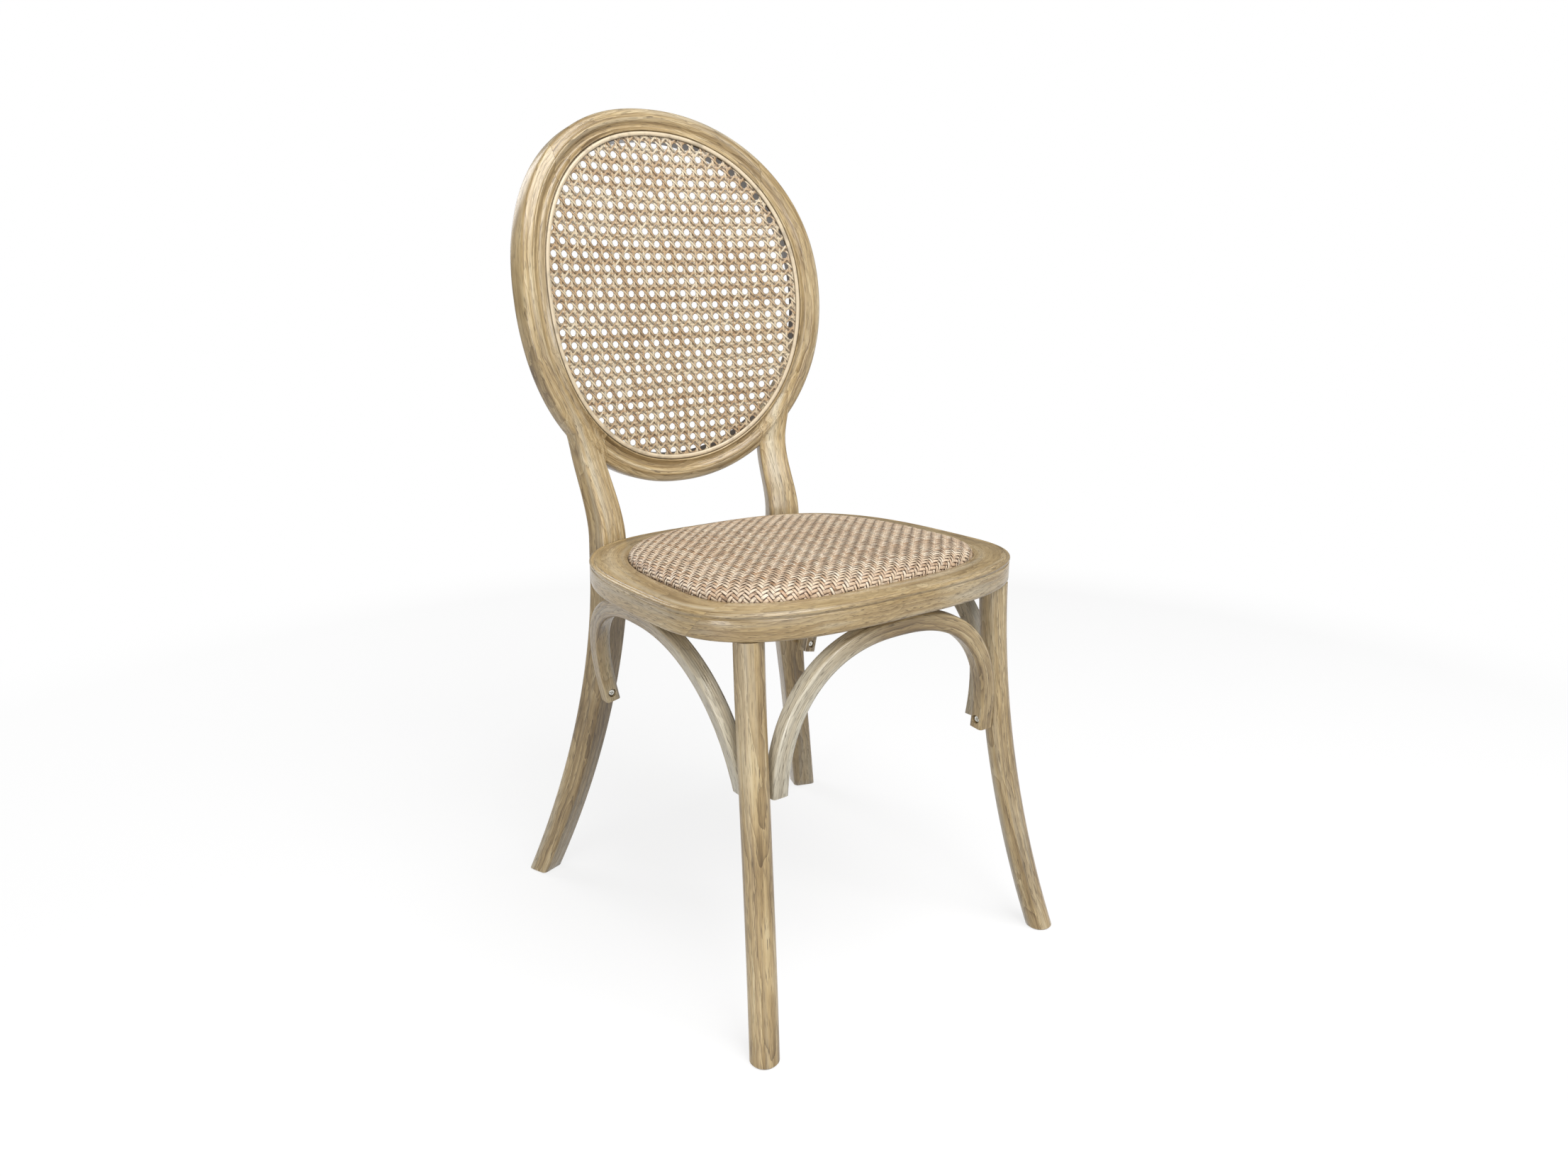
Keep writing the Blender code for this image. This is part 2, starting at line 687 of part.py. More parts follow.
def net_mesh(name, outline, holes):
    """One flat skin inside an outline, evenly triangulated round its holes.

    The holes are convex, so a triangle whose corners are all on one hole fills it,
    and is left out.
    """
    points, edges, hole_of = [], [], []
    for number, loop in enumerate([outline] + holes):
        first = len(points)
        points += [Vector(point) for point in loop]
        hole_of += [number] * len(loop)
        edges += [(first + step, first + (step + 1) % len(loop))
                  for step in range(len(loop))]
    corners, _, faces, sources = delaunay_2d_cdt(points, edges, [], FILL_INSIDE, WELD)[:4]
    kept = []
    for face in faces:
        holes_met = {hole_of[sources[corner][0]] for corner in face}
        if holes_met == {0} or len(holes_met) > 1:
            kept.append(face)
    mesh = bpy.data.meshes.new(name)
    mesh.from_pydata([(across, up, 0.0) for across, up in corners], [], kept)
    return mesh


def make_cane_panel():
    outline = oval_outline(OVAL_STEPS, REBATE_WIDTH - GAP)
    mesh = bend_to_back(net_mesh("back_cane_panel", outline, cane_holes()))
    panel = add_piece("back_cane_panel", mesh, cane)
    thicken = panel.modifiers.new("cane_thickness", "SOLIDIFY")
    thicken.thickness = CANE_THICKNESS
    thicken.offset = -1.0
    return panel


def make_reed():
    """Half-round reed that lies on the cane's edge in the frame's rebate."""
    section = [(REBATE_WIDTH / 2 + REED_WIDTH / 2 * math.cos(angle),
                REED_SEAT + REED_HEIGHT * math.sin(angle))
               for angle in np.linspace(0.0, math.pi, 6)]
    mesh = swept_mesh("back_cane_reed", oval_outline(OVAL_STEPS), section, True)
    return add_piece("back_cane_reed", bend_to_back(mesh), cane)


# Fasteners

def make_fastener(name, seat, direction, length, radius, head_radius, head_height):
    """A turned screw or bolt: the underside of its head sits at the seat point."""
    tip = max(radius, SCREW_RECESS_RADIUS)
    profile = [
        (0.0, head_height - SCREW_RECESS_DEPTH),
        (SCREW_RECESS_RADIUS, head_height),
        (head_radius - SCREW_RECESS_DEPTH, head_height),
        (head_radius, 0.0),
        (radius, 0.0),
        (radius, -length + tip),
        (0.0, -length),
    ]
    mesh = bpy.data.meshes.new(name)
    edges = [(step, step + 1) for step in range(len(profile) - 1)]
    mesh.from_pydata([(x, 0.0, z) for x, z in profile], edges, [])
    piece = bpy.data.objects.new(name, mesh)
    piece.parent = chair
    parts.objects.link(piece)
    mesh.materials.append(zinc)
    turned = piece.modifiers.new("turned", "SCREW")
    turned.axis = "Z"
    turned.steps = FINE_SIDES
    turned.render_steps = FINE_SIDES
    turned.use_merge_vertices = True
    turned.merge_threshold = WELD
    piece.rotation_mode = "QUATERNION"
    piece.rotation_quaternion = (-Vector(direction)).to_track_quat("Z", "Y")
    piece.location = seat
    return piece


def fasten(name, near, far, entry, direction, depth_near, bite):
    """Counterbore and bore two pieces, and set a screw in them.

    entry is the point where the screw's axis meets the near piece's open face.
    """
    direction = Vector(direction).normalized()
    entry = Vector(entry)
    seat = entry + direction * COUNTERBORE_DEPTH
    end = entry + direction * (depth_near + bite)
    clearance = SCREW_RADIUS + BORE_CLEARANCE
    bore(name + "_counterbore", [near], entry - direction * OVERRUN, seat,
         COUNTERBORE_RADIUS)
    bore(name + "_bore", [near, far], seat - direction * OVERRUN / 2,
         end + direction * GAP, clearance)
    return make_fastener(name, seat + direction * -GAP, direction,
                         depth_near + bite - COUNTERBORE_DEPTH, SCREW_RADIUS,
                         SCREW_HEAD_RADIUS, SCREW_HEAD_HEIGHT)


# Brackets

class Arch:
    """A bent bracket in its own upright plane between two legs."""

    def __init__(self, start, end, lean, crown_side):
        self.start, self.end = Vector(start), Vector(end)
        span = self.end - self.start
        self.half = span.length / 2
        self.along = span.normalized()
        level = Vector(crown_side)
        level = (level - level.dot(self.along) * self.along).normalized()
        tilt = math.radians(lean)
        self.up = (Vector((0.0, 0.0, 1.0)) * math.cos(tilt) + level * math.sin(tilt))
        self.out = self.along.cross(self.up)
        self.middle = (self.start + self.end) / 2
        clear = (BRACKET_THICKNESS / 2 * math.cos(tilt)
                 + BRACKET_WIDTH / 2 * math.sin(tilt) + GAP)
        self.rise = (SEAT_UNDERSIDE - clear - self.middle.z) / math.cos(tilt)

    def matrix(self):
        columns = Matrix((self.along, self.up, self.out)).transposed().to_4x4()
        return Matrix.Translation(self.middle) @ columns

    def path(self):
        points = []
        for share in np.linspace(1.0, 0.0, ARCH_STEPS + 1):
            angle = math.pi * share
            across, up = math.cos(angle), math.sin(angle)
            size = (abs(across) ** BRACKET_SQUARENESS
                    + abs(up) ** BRACKET_SQUARENESS) ** (-1.0 / BRACKET_SQUARENESS)
            points.append((self.half * size * across, self.rise * size * up))
        return points

    def place(self, across, up):
        return self.middle + across * self.along + up * self.up


def make_bracket(name, arch):
    section = rounded_rectangle(BRACKET_THICKNESS, BRACKET_WIDTH, BRACKET_CORNER)
    mesh = swept_mesh(name, arch.path(), section, False)
    mesh.transform(arch.matrix())
    return add_piece(name, mesh, oak)


def arch_levels():
    """Heights up a bracket's limb, each with the share of its half span left there."""
    levels = []
    for share in np.linspace(0.0, LIMB_SHARE, CLEARANCE_STEPS):
        height = BRACKET_END_HEIGHT + share * (SEAT_UNDERSIDE - BRACKET_END_HEIGHT)
        left = (1.0 - share ** BRACKET_SQUARENESS) ** (1.0 / BRACKET_SQUARENESS)
        levels.append((height, left))
    return levels


def front_arch():
    """Between the inner sides of the front legs."""
    _, leg_y = front_leg_centre(BRACKET_END_HEIGHT + END_SCREW_RISE)
    inset = FRONT_LEG_RADIUS + BRACKET_LEG_GAP + BRACKET_THICKNESS / 2
    half = min((front_leg_centre(height)[0] - inset) / left
               for height, left in arch_levels())
    height = BRACKET_END_HEIGHT
    return Arch((-half, leg_y, height), (half, leg_y, height),
                FRONT_BRACKET_LEAN, (0.0, -1.0, 0.0))


def side_arch(side):
    """From the back of a front leg to the front face of a rear leg."""
    turn = math.radians(REAR_LEG_TURN)
    inset = FRONT_LEG_RADIUS + BRACKET_LEG_GAP + BRACKET_THICKNESS / 2
    reach = (BRACKET_THICKNESS / 2 * math.cos(turn) + BRACKET_WIDTH / 2 * math.sin(turn)
             + BRACKET_LEG_GAP)
    limits = []
    for height, left in arch_levels():
        rear_x, rear_y = rear_leg_centre(height)
        _, depth = rear_leg_section(height)
        plane = rear_x * math.sin(turn) + rear_y * math.cos(turn) - depth / 2 - reach
        rear_limit = (plane - SIDE_BRACKET_REAR_X * math.sin(turn)) / math.cos(turn)
        front_limit = front_leg_centre(height)[1] + inset
        limits.append((front_limit, rear_limit, left))
    start_y, end_y, _ = limits[0]
    for _ in range(4):
        start_y = max((2 * front - end_y * (1 - left)) / (1 + left)
                      for front, _, left in limits)
        end_y = min((2 * rear - start_y * (1 - left)) / (1 + left)
                    for _, rear, left in limits)
    height = BRACKET_END_HEIGHT
    return Arch((side * SIDE_BRACKET_FRONT_X, start_y, height),
                (side * SIDE_BRACKET_REAR_X, end_y, height),
                SIDE_BRACKET_LEAN, (side, 0.0, 0.0))


def fasten_arch(name, arch, bracket, start_leg, end_leg, rail, start_rise):
    """Two end screws into the legs and one crown screw up into the seat ring."""
    inner = BRACKET_THICKNESS / 2
    entry = arch.place(-arch.half + inner, start_rise)
    fasten(name + "_end_screw_1", bracket, start_leg, entry, -arch.along,
           BRACKET_THICKNESS, SCREW_BITE)
    entry = arch.place(arch.half - inner, END_SCREW_RISE)
    fasten(name + "_end_screw_2", bracket, end_leg, entry, arch.along,
           BRACKET_THICKNESS, SCREW_BITE)
    entry = arch.place(0.0, arch.rise - inner)
    fasten(name + "_crown_screw", bracket, rail, entry, arch.up,
           BRACKET_THICKNESS, SCREW_BITE)


# Corner blocks and the seat's screws

def make_corner_block(name, side, start, end):
    """A three-cornered block inside the ring, under the seat board."""
    def inside(angle):
        radius = panel_radius(angle) - LEDGE_WIDTH - BLOCK_CLEARANCE
        x, y, _ = at_angle(angle, radius, 0.0)
        return x, y
    first = inside(math.radians(start))
    second = inside(math.radians(end))
    middle = inside(math.radians((start + end) / 2))
    inner = (middle[0] * BLOCK_REACH_SHARE, middle[1] * BLOCK_REACH_SHARE)
    outline = [(side * x, y) for x, y in (first, second, inner)]
    block = add_piece(name, plate_mesh(name, [outline], BLOCK_HEIGHT), oak)
    top = LEDGE_LEVEL
    block.location.z = top - BLOCK_HEIGHT / 2
    corners = np.array(outline)
    centre = corners.mean(axis=0)
    return block, Vector((centre[0], centre[1], top - BLOCK_HEIGHT))


def make_bolt(name, leg, rail, side):
    """A bolt from the back of a rear leg into the seat ring."""
    turn = math.radians(REAR_LEG_TURN)
    inwards = Vector((-side * math.sin(turn), -math.cos(turn), 0.0))
    height = SEAT_HEIGHT - BOLT_DROP
    centre_x, centre_y = rear_leg_centre(height)
    _, depth = rear_leg_section(height)
    centre = Vector((side * centre_x, centre_y, height))
    entry = centre - inwards * depth / 2
    seat = entry + inwards * (BOLT_HEAD_HEIGHT + GAP)
    end = centre + inwards * (depth / 2 + BOLT_BITE)
    bore(name + "_counterbore", [leg], entry - inwards * OVERRUN, seat,
         BOLT_HEAD_RADIUS + BORE_CLEARANCE)
    bore(name + "_bore", [leg, rail], seat - inwards * OVERRUN / 2, end + inwards * GAP,
         BOLT_RADIUS + BORE_CLEARANCE)
    make_fastener(name, seat - inwards * GAP, inwards, (end - seat).length,
                  BOLT_RADIUS, BOLT_HEAD_RADIUS, BOLT_HEAD_HEIGHT)


def make_dowel(name, leg, rail, side, joint_x, up_sign):
    """A dowel across an upright joint of the oval frame."""
    band = FRAME_WIDTH / 2
    outline = oval_outline(OVAL_STEPS * 4, band)
    level = min((abs(x - joint_x), up) for x, up in outline
                if (up - OVAL_LEVEL) * up_sign > 0)[1]
    proud = -FRAME_RELIEF - (FRAME_DEPTH - FRAME_RELIEF) * DOWEL_DEPTH_SHARE + GAP
    half = DOWEL_LENGTH / 2
    inner = on_back(side * (joint_x - half), level, proud)
    outer = on_back(side * (joint_x + half), level, proud)
    axis = (outer - inner).normalized()
    bore(name + "_bore", [leg, rail], inner - axis * GAP, outer + axis * GAP,
         DOWEL_RADIUS + BORE_CLEARANCE)
    add_piece(name, rod_mesh(name, inner, outer, DOWEL_RADIUS), oak)


front_rail = make_seat_rail("seat_front_rail", -FRONT_JOINT_LEFT_ANGLE, FRONT_JOINT_RIGHT_ANGLE)
right_rail = make_seat_rail("seat_right_rail", FRONT_JOINT_RIGHT_ANGLE, REAR_JOINT_ANGLE)
rear_rail = make_seat_rail("seat_rear_rail", REAR_JOINT_ANGLE, 360.0 - REAR_JOINT_ANGLE)
left_rail = make_seat_rail("seat_left_rail", 360.0 - REAR_JOINT_ANGLE,
                           360.0 - FRONT_JOINT_LEFT_ANGLE)
board = make_seat_board()
make_woven_panel()

front_leg_left = make_front_leg("front_leg_left", -1)
front_leg_right = make_front_leg("front_leg_right", 1)
cut_tenon_socket("tenon_socket_left", front_rail, -1)
cut_tenon_socket("tenon_socket_right", right_rail, 1)

rear_leg_left = make_rear_leg("rear_leg_left", -1)
rear_leg_right = make_rear_leg("rear_leg_right", 1)
top_rail = make_oval_rail("back_top_rail", TOP_JOINT_X, True)
bottom_rail = make_oval_rail("back_bottom_rail", BOTTOM_JOINT_X, False)
make_cane_panel()
make_reed()

arch = front_arch()
bracket = make_bracket("bracket_front", arch)
fasten_arch("bracket_front", arch, bracket, front_leg_left, front_leg_right, front_rail,
            END_SCREW_RISE)
for label, side, front_leg, rear_leg, rail in (
        ("bracket_left", -1, front_leg_left, rear_leg_left, left_rail),
        ("bracket_right", 1, front_leg_right, rear_leg_right, right_rail)):
    arch = side_arch(side)
    bracket = make_bracket(label, arch)
    fasten_arch(label, arch, bracket, front_leg, rear_leg, rail, FRONT_END_SCREW_RISE)

for label, side, leg, rail in (("left", -1, rear_leg_left, left_rail),
                               ("right", 1, rear_leg_right, right_rail)):
    make_bolt("rear_leg_bolt_" + label, leg, rail, side)
    make_dowel("top_dowel_" + label, leg, top_rail, side, TOP_JOINT_X, 1)
    make_dowel("bottom_dowel_" + label, leg, bottom_rail, side, BOTTOM_JOINT_X, -1)

for place, start, end in (("front", BLOCK_FRONT_START, BLOCK_FRONT_END),
                          ("rear", BLOCK_REAR_START, BLOCK_REAR_END)):
    for label, side in (("left", -1), ("right", 1)):
        name = "corner_block_" + place + "_" + label
        block, entry = make_corner_block(name, side, start, end)
        fasten("seat_screw_" + place + "_" + label, block, board, entry,
               (0.0, 0.0, 1.0), BLOCK_HEIGHT, BOARD_THICKNESS / 2)
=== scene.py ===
# %% [markdown]
# # An oval-backed dining chair, made piece by piece
# The solids of the chair are loaded first, as a frame that fixes where everything is.
# Each step after that makes one visible piece over its solid, or gives a finish to a
# solid whose shape is already right. All lengths are in metres. The front of the chair
# faces -Y, and left and right are as seen from in front.

# %% Load the frame
import math

import bpy
import numpy as np
from mathutils import Matrix, Vector


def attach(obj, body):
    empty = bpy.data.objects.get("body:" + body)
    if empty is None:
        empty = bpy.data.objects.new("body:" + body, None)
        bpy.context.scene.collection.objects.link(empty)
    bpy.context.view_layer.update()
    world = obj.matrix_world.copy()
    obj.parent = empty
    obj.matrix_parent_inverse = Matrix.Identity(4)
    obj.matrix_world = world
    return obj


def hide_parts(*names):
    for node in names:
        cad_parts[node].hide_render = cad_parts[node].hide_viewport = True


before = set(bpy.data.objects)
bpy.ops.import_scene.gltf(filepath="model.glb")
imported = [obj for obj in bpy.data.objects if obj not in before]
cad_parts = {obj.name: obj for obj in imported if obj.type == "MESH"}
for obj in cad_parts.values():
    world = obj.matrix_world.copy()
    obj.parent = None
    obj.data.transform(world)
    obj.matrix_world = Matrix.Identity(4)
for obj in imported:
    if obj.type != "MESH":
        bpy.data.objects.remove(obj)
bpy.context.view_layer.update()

print("nodes in the frame:", len(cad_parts))

# %% [markdown]
# ## Camera
# The photograph was taken from the front left, a little above the seat. The camera's
# place, turn and focal length were solved from the four feet, the seat's outline and the
# oval, so here they are only written down. A camera looks along its own -Z, so its three
# axes are worked out from the azimuth, the elevation and a small roll.

# %% Camera
PHOTO_WIDTH = 2212
FOCAL_LENGTH_IN_PIXELS = 1567.44
SENSOR_WIDTH = 36.0
CAMERA_PLACE = (-0.7594, -1.0614, 0.7713)
CAMERA_AZIMUTH = math.radians(-36.204)
CAMERA_ELEVATION = math.radians(15.535)
CAMERA_ROLL = math.radians(-0.527)


def camera_turn(azimuth, elevation, roll):
    """Matrix whose columns are the camera's right, up and backward directions."""
    back = Vector((math.sin(azimuth) * math.cos(elevation),
                   -math.cos(azimuth) * math.cos(elevation), math.sin(elevation)))
    right = Vector((math.cos(azimuth), math.sin(azimuth), 0.0))
    up = back.cross(right)
    rolled_right = math.cos(roll) * right + math.sin(roll) * up
    rolled_up = -math.sin(roll) * right + math.cos(roll) * up
    return Matrix((rolled_right, rolled_up, back)).transposed()


lens = bpy.data.cameras.new("camera")
lens.sensor_width = SENSOR_WIDTH
lens.lens = SENSOR_WIDTH * FOCAL_LENGTH_IN_PIXELS / PHOTO_WIDTH
camera = bpy.data.objects.new("camera", lens)
turn = camera_turn(CAMERA_AZIMUTH, CAMERA_ELEVATION, CAMERA_ROLL)
camera.matrix_world = Matrix.Translation(CAMERA_PLACE) @ turn.to_4x4()
bpy.context.scene.collection.objects.link(camera)
bpy.context.scene.camera = camera
bpy.context.scene.view_settings.view_transform = "Standard"
print("lens:", round(lens.lens, 2), "mm")

# %% [markdown]
# ## Finishes as small programs
# A finish here is a chain of shader nodes. Linking nodes by hand takes many lines, so a
# small class adds one node per call: numbers go onto the node's own sockets, and outputs
# of earlier nodes are linked. The two colour helpers change the familiar 0 to 255 values
# into the linear light that a shader works in, and lay a ramp of them.

# %% A helper that builds a finish
def linear(red, green, blue):
    """Screen colour, 0 to 255, as linear light: the usual 2.4 power with a short foot."""
    shares = np.array((red, green, blue)) / 255.0
    light = np.where(shares <= 0.04045, shares / 12.92, ((shares + 0.055) / 1.055) ** 2.4)
    return (*light.tolist(), 1.0)


class Finish:
    """A material in the making; add() puts in one node and hands back its output."""

    def __init__(self, name):
        self.material = bpy.data.materials.new(name)
        self.material.use_nodes = True
        self.nodes = self.material.node_tree.nodes
        self.shader = self.nodes["Principled BSDF"]

    def add(self, kind, inputs=None, output=0, **settings):
        node = self.nodes.new("ShaderNode" + kind)
        for key, value in settings.items():
            setattr(node, key, value)
        self.join(node, inputs or {})
        return node.outputs[output]

    def join(self, node, inputs):
        """Link earlier outputs to a node's sockets, and set plain values on them."""
        for key, value in inputs.items():
            if isinstance(value, bpy.types.NodeSocket):
                self.material.node_tree.links.new(value, node.inputs[key])
            else:
                node.inputs[key].default_value = value

    def ramp(self, factor, stops):
        """Colours at shares along a factor; stops are (share, colour)."""
        colour = self.add("ValToRGB", {0: factor})
        elements = colour.node.color_ramp.elements
        while len(elements) < len(stops):
            elements.new(0.5)
        for element, (share, shade) in zip(elements, stops):
            element.position, element.color = share, shade
        return colour

    def spread(self, value, low, high, to_low=0.0, to_high=1.0):
        """A value's range laid on another range, and held inside it."""
        return self.add("MapRange", {0: value, 1: low, 2: high, 3: to_low, 4: to_high})

    def mix(self, factor, first, second):
        """The first colour where the factor is 0 and the second where it is 1."""
        return self.add("Mix", {0: factor, 6: first, 7: second}, 2, data_type="RGBA")

    def math(self, operation, *values):
        """One step of arithmetic on one to three values."""
        return self.add("Math", dict(enumerate(values)), operation=operation)

    def stretch(self, place, scale, offset=(0.0, 0.0, 0.0), turn=(0.0, 0.0, 0.0)):
        """A place turned, scaled and moved, so that a pattern can be drawn out one way."""
        return self.add("Mapping", {0: place, 1: offset, 2: turn, 3: scale})

    def own_place(self):
        """Where a point lies on the object, in metres."""
        return self.add("TexCoord", output="Object")

    def noise(self, place, scale, detail=2.0, roughness=0.5, offset=(0.0, 0.0, 0.0)):
        """Soft clouds from 0 to 1; a large scale along an axis makes them short there."""
        return self.add("TexNoise", {"Vector": self.stretch(place, scale, offset),
                                     "Scale": 1.0, "Detail": detail,
                                     "Roughness": roughness})

    def share(self, label):
        """A value from 0 to 1 that a mesh carries at its points; 0 where it has none."""
        return self.add("Attribute", output="Fac", attribute_name=label)

    def bump(self, height, distance, strength):
        """Fine relief that shows in the light, from a height times a distance."""
        return self.add("Bump", {"Height": height, "Distance": distance,
                                 "Strength": strength})

    def surface(self, **inputs):
        """Link or set the shader's own sockets, named with _ for a space."""
        self.join(self.shader, {key.replace("_", " "): value
                                for key, value in inputs.items()})
        return self.material


# %% [markdown]
# ## Limed oak
# The frame is open-grained wood, steamed and bent, under a thin satin finish with a
# greyish bloom. Three things make it look like wood at this size: growth rings, drawn as
# rings round a pith that lies beside the piece and is a little out of line with it, so
# that they run out in long arches; dark open pores, short and fine along the grain; and
# slow changes of tone. The bent pieces carry their own grain directions as a vector
# called grain, which is across, depth and length along the bend, so the grain follows the
# bend as it does in steamed wood. Solids from the frame have none and use their place.
# Two shares come with some meshes: limed, where the grey bloom lies thick and which also
# stands in as painted highlight, and a second one that puts painted shade on the wall
# behind the cane. The ring is calmer in tone than the rest.

# %% Limed oak
OAK_LINE = linear(88, 68, 42)
OAK_DARK = linear(106, 85, 52)
OAK_BROWN = linear(154, 130, 90)
OAK_TAN = linear(186, 162, 119)
OAK_PALE = linear(213, 195, 156)
PORE_BROWN = linear(68, 52, 34)
LIME_GREY = linear(210, 204, 186)
RING_SPACING = 0.0054
WAVE_RINGS_PER_METRE = 20.0 / (2.0 * math.pi)
PITH, PITH_TILT = (0.030, 0.045, 0.0), (0.045, 0.030, 0.0)
SLOW_SWAY = (6.0, 6.0, 2.6), (0.024, 0.024, 0.0)
FINE_SWAY = (60.0, 60.0, 11.0), (0.0008, 0.0008, 0.0)
BROAD_PER_METRE, STREAKS_PER_METRE = (16.0, 16.0, 6.0), (210.0, 210.0, 6.0)
FIBRES_PER_METRE, PORES_PER_METRE = (1400.0, 1400.0, 18.0), (1250.0, 1250.0, 75.0)
BLOOM_PER_METRE, BLOOM_OFFSET = (75.0, 75.0, 3.0), (3.0, 1.0, 7.0)
GRAIN_RELIEF = 0.00022
CALM, RING_CALM = 0.03, 0.10


def swayed_place(finish, place, frequency, reach):
    """A place moved sideways by a slow noise, so that straight rings wander."""
    noise = finish.add("TexNoise", {"Vector": finish.stretch(place, frequency),
                                    "Detail": 2.0}, 1)
    return finish.add("VectorMath", {0: noise, 1: reach, 2: place},
                      operation="MULTIPLY_ADD")


def make_oak(name, follows_bend, calm=CALM):
    """Tone, bloom, ring lines and pores over each other; a larger calm evens the tone."""
    finish = Finish(name)
    if follows_bend:
        place = finish.add("Attribute", output="Vector", attribute_name="grain")
    else:
        place = finish.own_place()

    # Growth rings round a pith beside the piece.
    swayed = swayed_place(finish, swayed_place(finish, place, *SLOW_SWAY), *FINE_SWAY)
    rings = finish.add("TexWave", {
        "Vector": finish.stretch(swayed, (1.0, 1.0, 1.0), PITH, PITH_TILT),
        "Scale": 1.0 / RING_SPACING / WAVE_RINGS_PER_METRE, "Distortion": 0.12,
        "Detail": 2.0, "Detail Scale": 1.2}, output="Fac", wave_type="RINGS",
        rings_direction="Z", wave_profile="SAW")

    # Noises drawn out along the grain; three of them and the rings make the tone.
    broad = finish.noise(place, BROAD_PER_METRE, detail=3.0)
    fibres = finish.noise(place, FIBRES_PER_METRE, detail=4.0, roughness=0.65)
    streaks = finish.noise(place, STREAKS_PER_METRE, detail=3.0)
    pores = finish.noise(place, PORES_PER_METRE, detail=1.0)
    tone = finish.math("MULTIPLY_ADD", streaks, 0.38,
                       finish.math("MULTIPLY_ADD", rings, -0.11, 0.055))
    tone = finish.math("MULTIPLY_ADD", broad, 0.50, tone)
    tone = finish.math("MULTIPLY_ADD", fibres, 0.38, tone)
    wood = finish.ramp(finish.spread(tone, 0.49 - calm, 0.77 + calm), (
        (0.0, OAK_DARK), (0.32, OAK_BROWN), (0.64, OAK_TAN), (1.0, OAK_PALE)))

    # The bloom lies in long patches, and thickly where the mesh says limed; that heavy
    # bloom also stands in as a painted highlight.
    bloom = finish.noise(place, BLOOM_PER_METRE, offset=BLOOM_OFFSET)
    wood = finish.mix(finish.spread(bloom, 0.50, 0.72, 0.0, 0.45), wood, LIME_GREY)
    thick = finish.math("MULTIPLY", finish.share("limed"),
                        finish.spread(bloom, 0.30, 0.62, 0.35, 0.88))
    wood = finish.mix(thick, wood, LIME_GREY)

    # Dark lines end the rings, open pores lie in their early wood.
    line = finish.math("MULTIPLY", finish.spread(rings, 0.80, 0.98),
                       finish.spread(broad, 0.36, 0.62, 0.52 - 2.5 * calm, 0.10))
    wood = finish.mix(line, wood, OAK_LINE)
    early = finish.spread(rings, 0.0, 0.6, 1.0, 0.4)
    open_pores = finish.math("MULTIPLY", finish.spread(pores, 0.56, 0.65), early)
    wood = finish.mix(finish.math("MULTIPLY", open_pores, 0.80), wood, PORE_BROWN)
    # Painted shade: the wall behind the cane is darkened nearly to pore brown.
    wood = finish.mix(finish.math("MULTIPLY", finish.share("painted_wall_shade"), 0.93), wood,
                      PORE_BROWN)

    roughness = finish.math("MULTIPLY_ADD", open_pores, 0.22,
                            finish.spread(fibres, 0.3, 0.7, 0.34, 0.46))
    height = finish.math("SUBTRACT", finish.math("MULTIPLY", fibres, 0.35),
                         finish.math("MULTIPLY", open_pores, 0.8))
    return finish.surface(Base_Color=wood, Roughness=roughness, Coat_Weight=0.45,
                          Coat_Roughness=0.16,
                          Normal=finish.bump(height, GRAIN_RELIEF, 0.75))


bent_oak = make_oak("limed_oak_bent", True)
ring_oak = make_oak("limed_oak_ring", True, RING_CALM)
sawn_oak = make_oak("limed_oak_sawn", False)
print("oak:", len(bent_oak.node_tree.nodes), "nodes")

# %% [markdown]
# ## Cane, straw, plywood and zinc
# A strand of cane is a narrow glossy strip with fine lines along it and darker patches now
# and then. Each strand is a slightly different colour. The strands carry a vector called
# strand: length along, place across from -1 to 1, and a number of the strand's own, which
# picks its colour. They also carry a share called lift, 0 where the strand is lowest in the
# weave and 1 where it is highest. Edges and low places are darkened towards the gap colour
# as painted shade. The straw of the seat is made the same way with other colours and less
# gloss. The board is plywood and its screws are bright zinc.

# %% Cane and straw
def make_strand(name, colours, gap_shade, roughness, patches_per_metre, patch_share):
    """A colour by the strand's number; lines, patches, edges and low places darken it."""
    finish = Finish(name)
    strand = finish.add("Attribute", output="Vector", attribute_name="strand")
    parts = finish.add("SeparateXYZ", {0: strand}).node.outputs
    stops = [(share / (len(colours) - 1), colour) for share, colour in enumerate(colours)]
    base = finish.ramp(parts[2], stops)
    lines = finish.noise(strand, (34.0, 7.0, 91.0), detail=3.0)
    patches = finish.noise(strand, (patches_per_metre, 0.2, 57.0))
    shade = finish.mix(finish.spread(lines, 0.35, 0.75, 0.0, 0.30), base, gap_shade)
    shade = finish.mix(finish.spread(patches, 0.52, 0.68, 0.0, patch_share), shade,
                       gap_shade)
    # Painted shade: a strand's edges and its low places in the weave go towards the gap
    # colour.
    edge = finish.spread(finish.math("ABSOLUTE", parts[1]), 0.60, 0.90, 0.0, 0.92)
    low = finish.spread(finish.share("lift"), 0.05, 0.55, 0.72, 0.0)
    shade = finish.mix(finish.math("MAXIMUM", edge, low), shade, gap_shade)
    rough = finish.spread(lines, 0.3, 0.7, roughness - 0.06, roughness + 0.08)
    return finish.surface(Base_Color=shade, Roughness=rough,
                          Normal=finish.bump(lines, 0.00008, 0.6))


cane = make_strand("natural_cane_strands", (
    linear(184, 152, 116), linear(222, 202, 168), linear(236, 221, 192),
    linear(206, 178, 142), linear(194, 164, 127), linear(228, 210, 180)),
    linear(50, 34, 22), 0.30, 60.0, 0.32)
straw = make_strand("natural_cane_seat", (
    linear(206, 174, 142), linear(230, 210, 182), linear(242, 228, 206),
    linear(218, 190, 160), linear(236, 217, 190), linear(192, 156, 122),
    linear(240, 223, 199)), linear(84, 58, 40), 0.42, 110.0, 0.50)
print("strand finishes:", cane.name, straw.name)

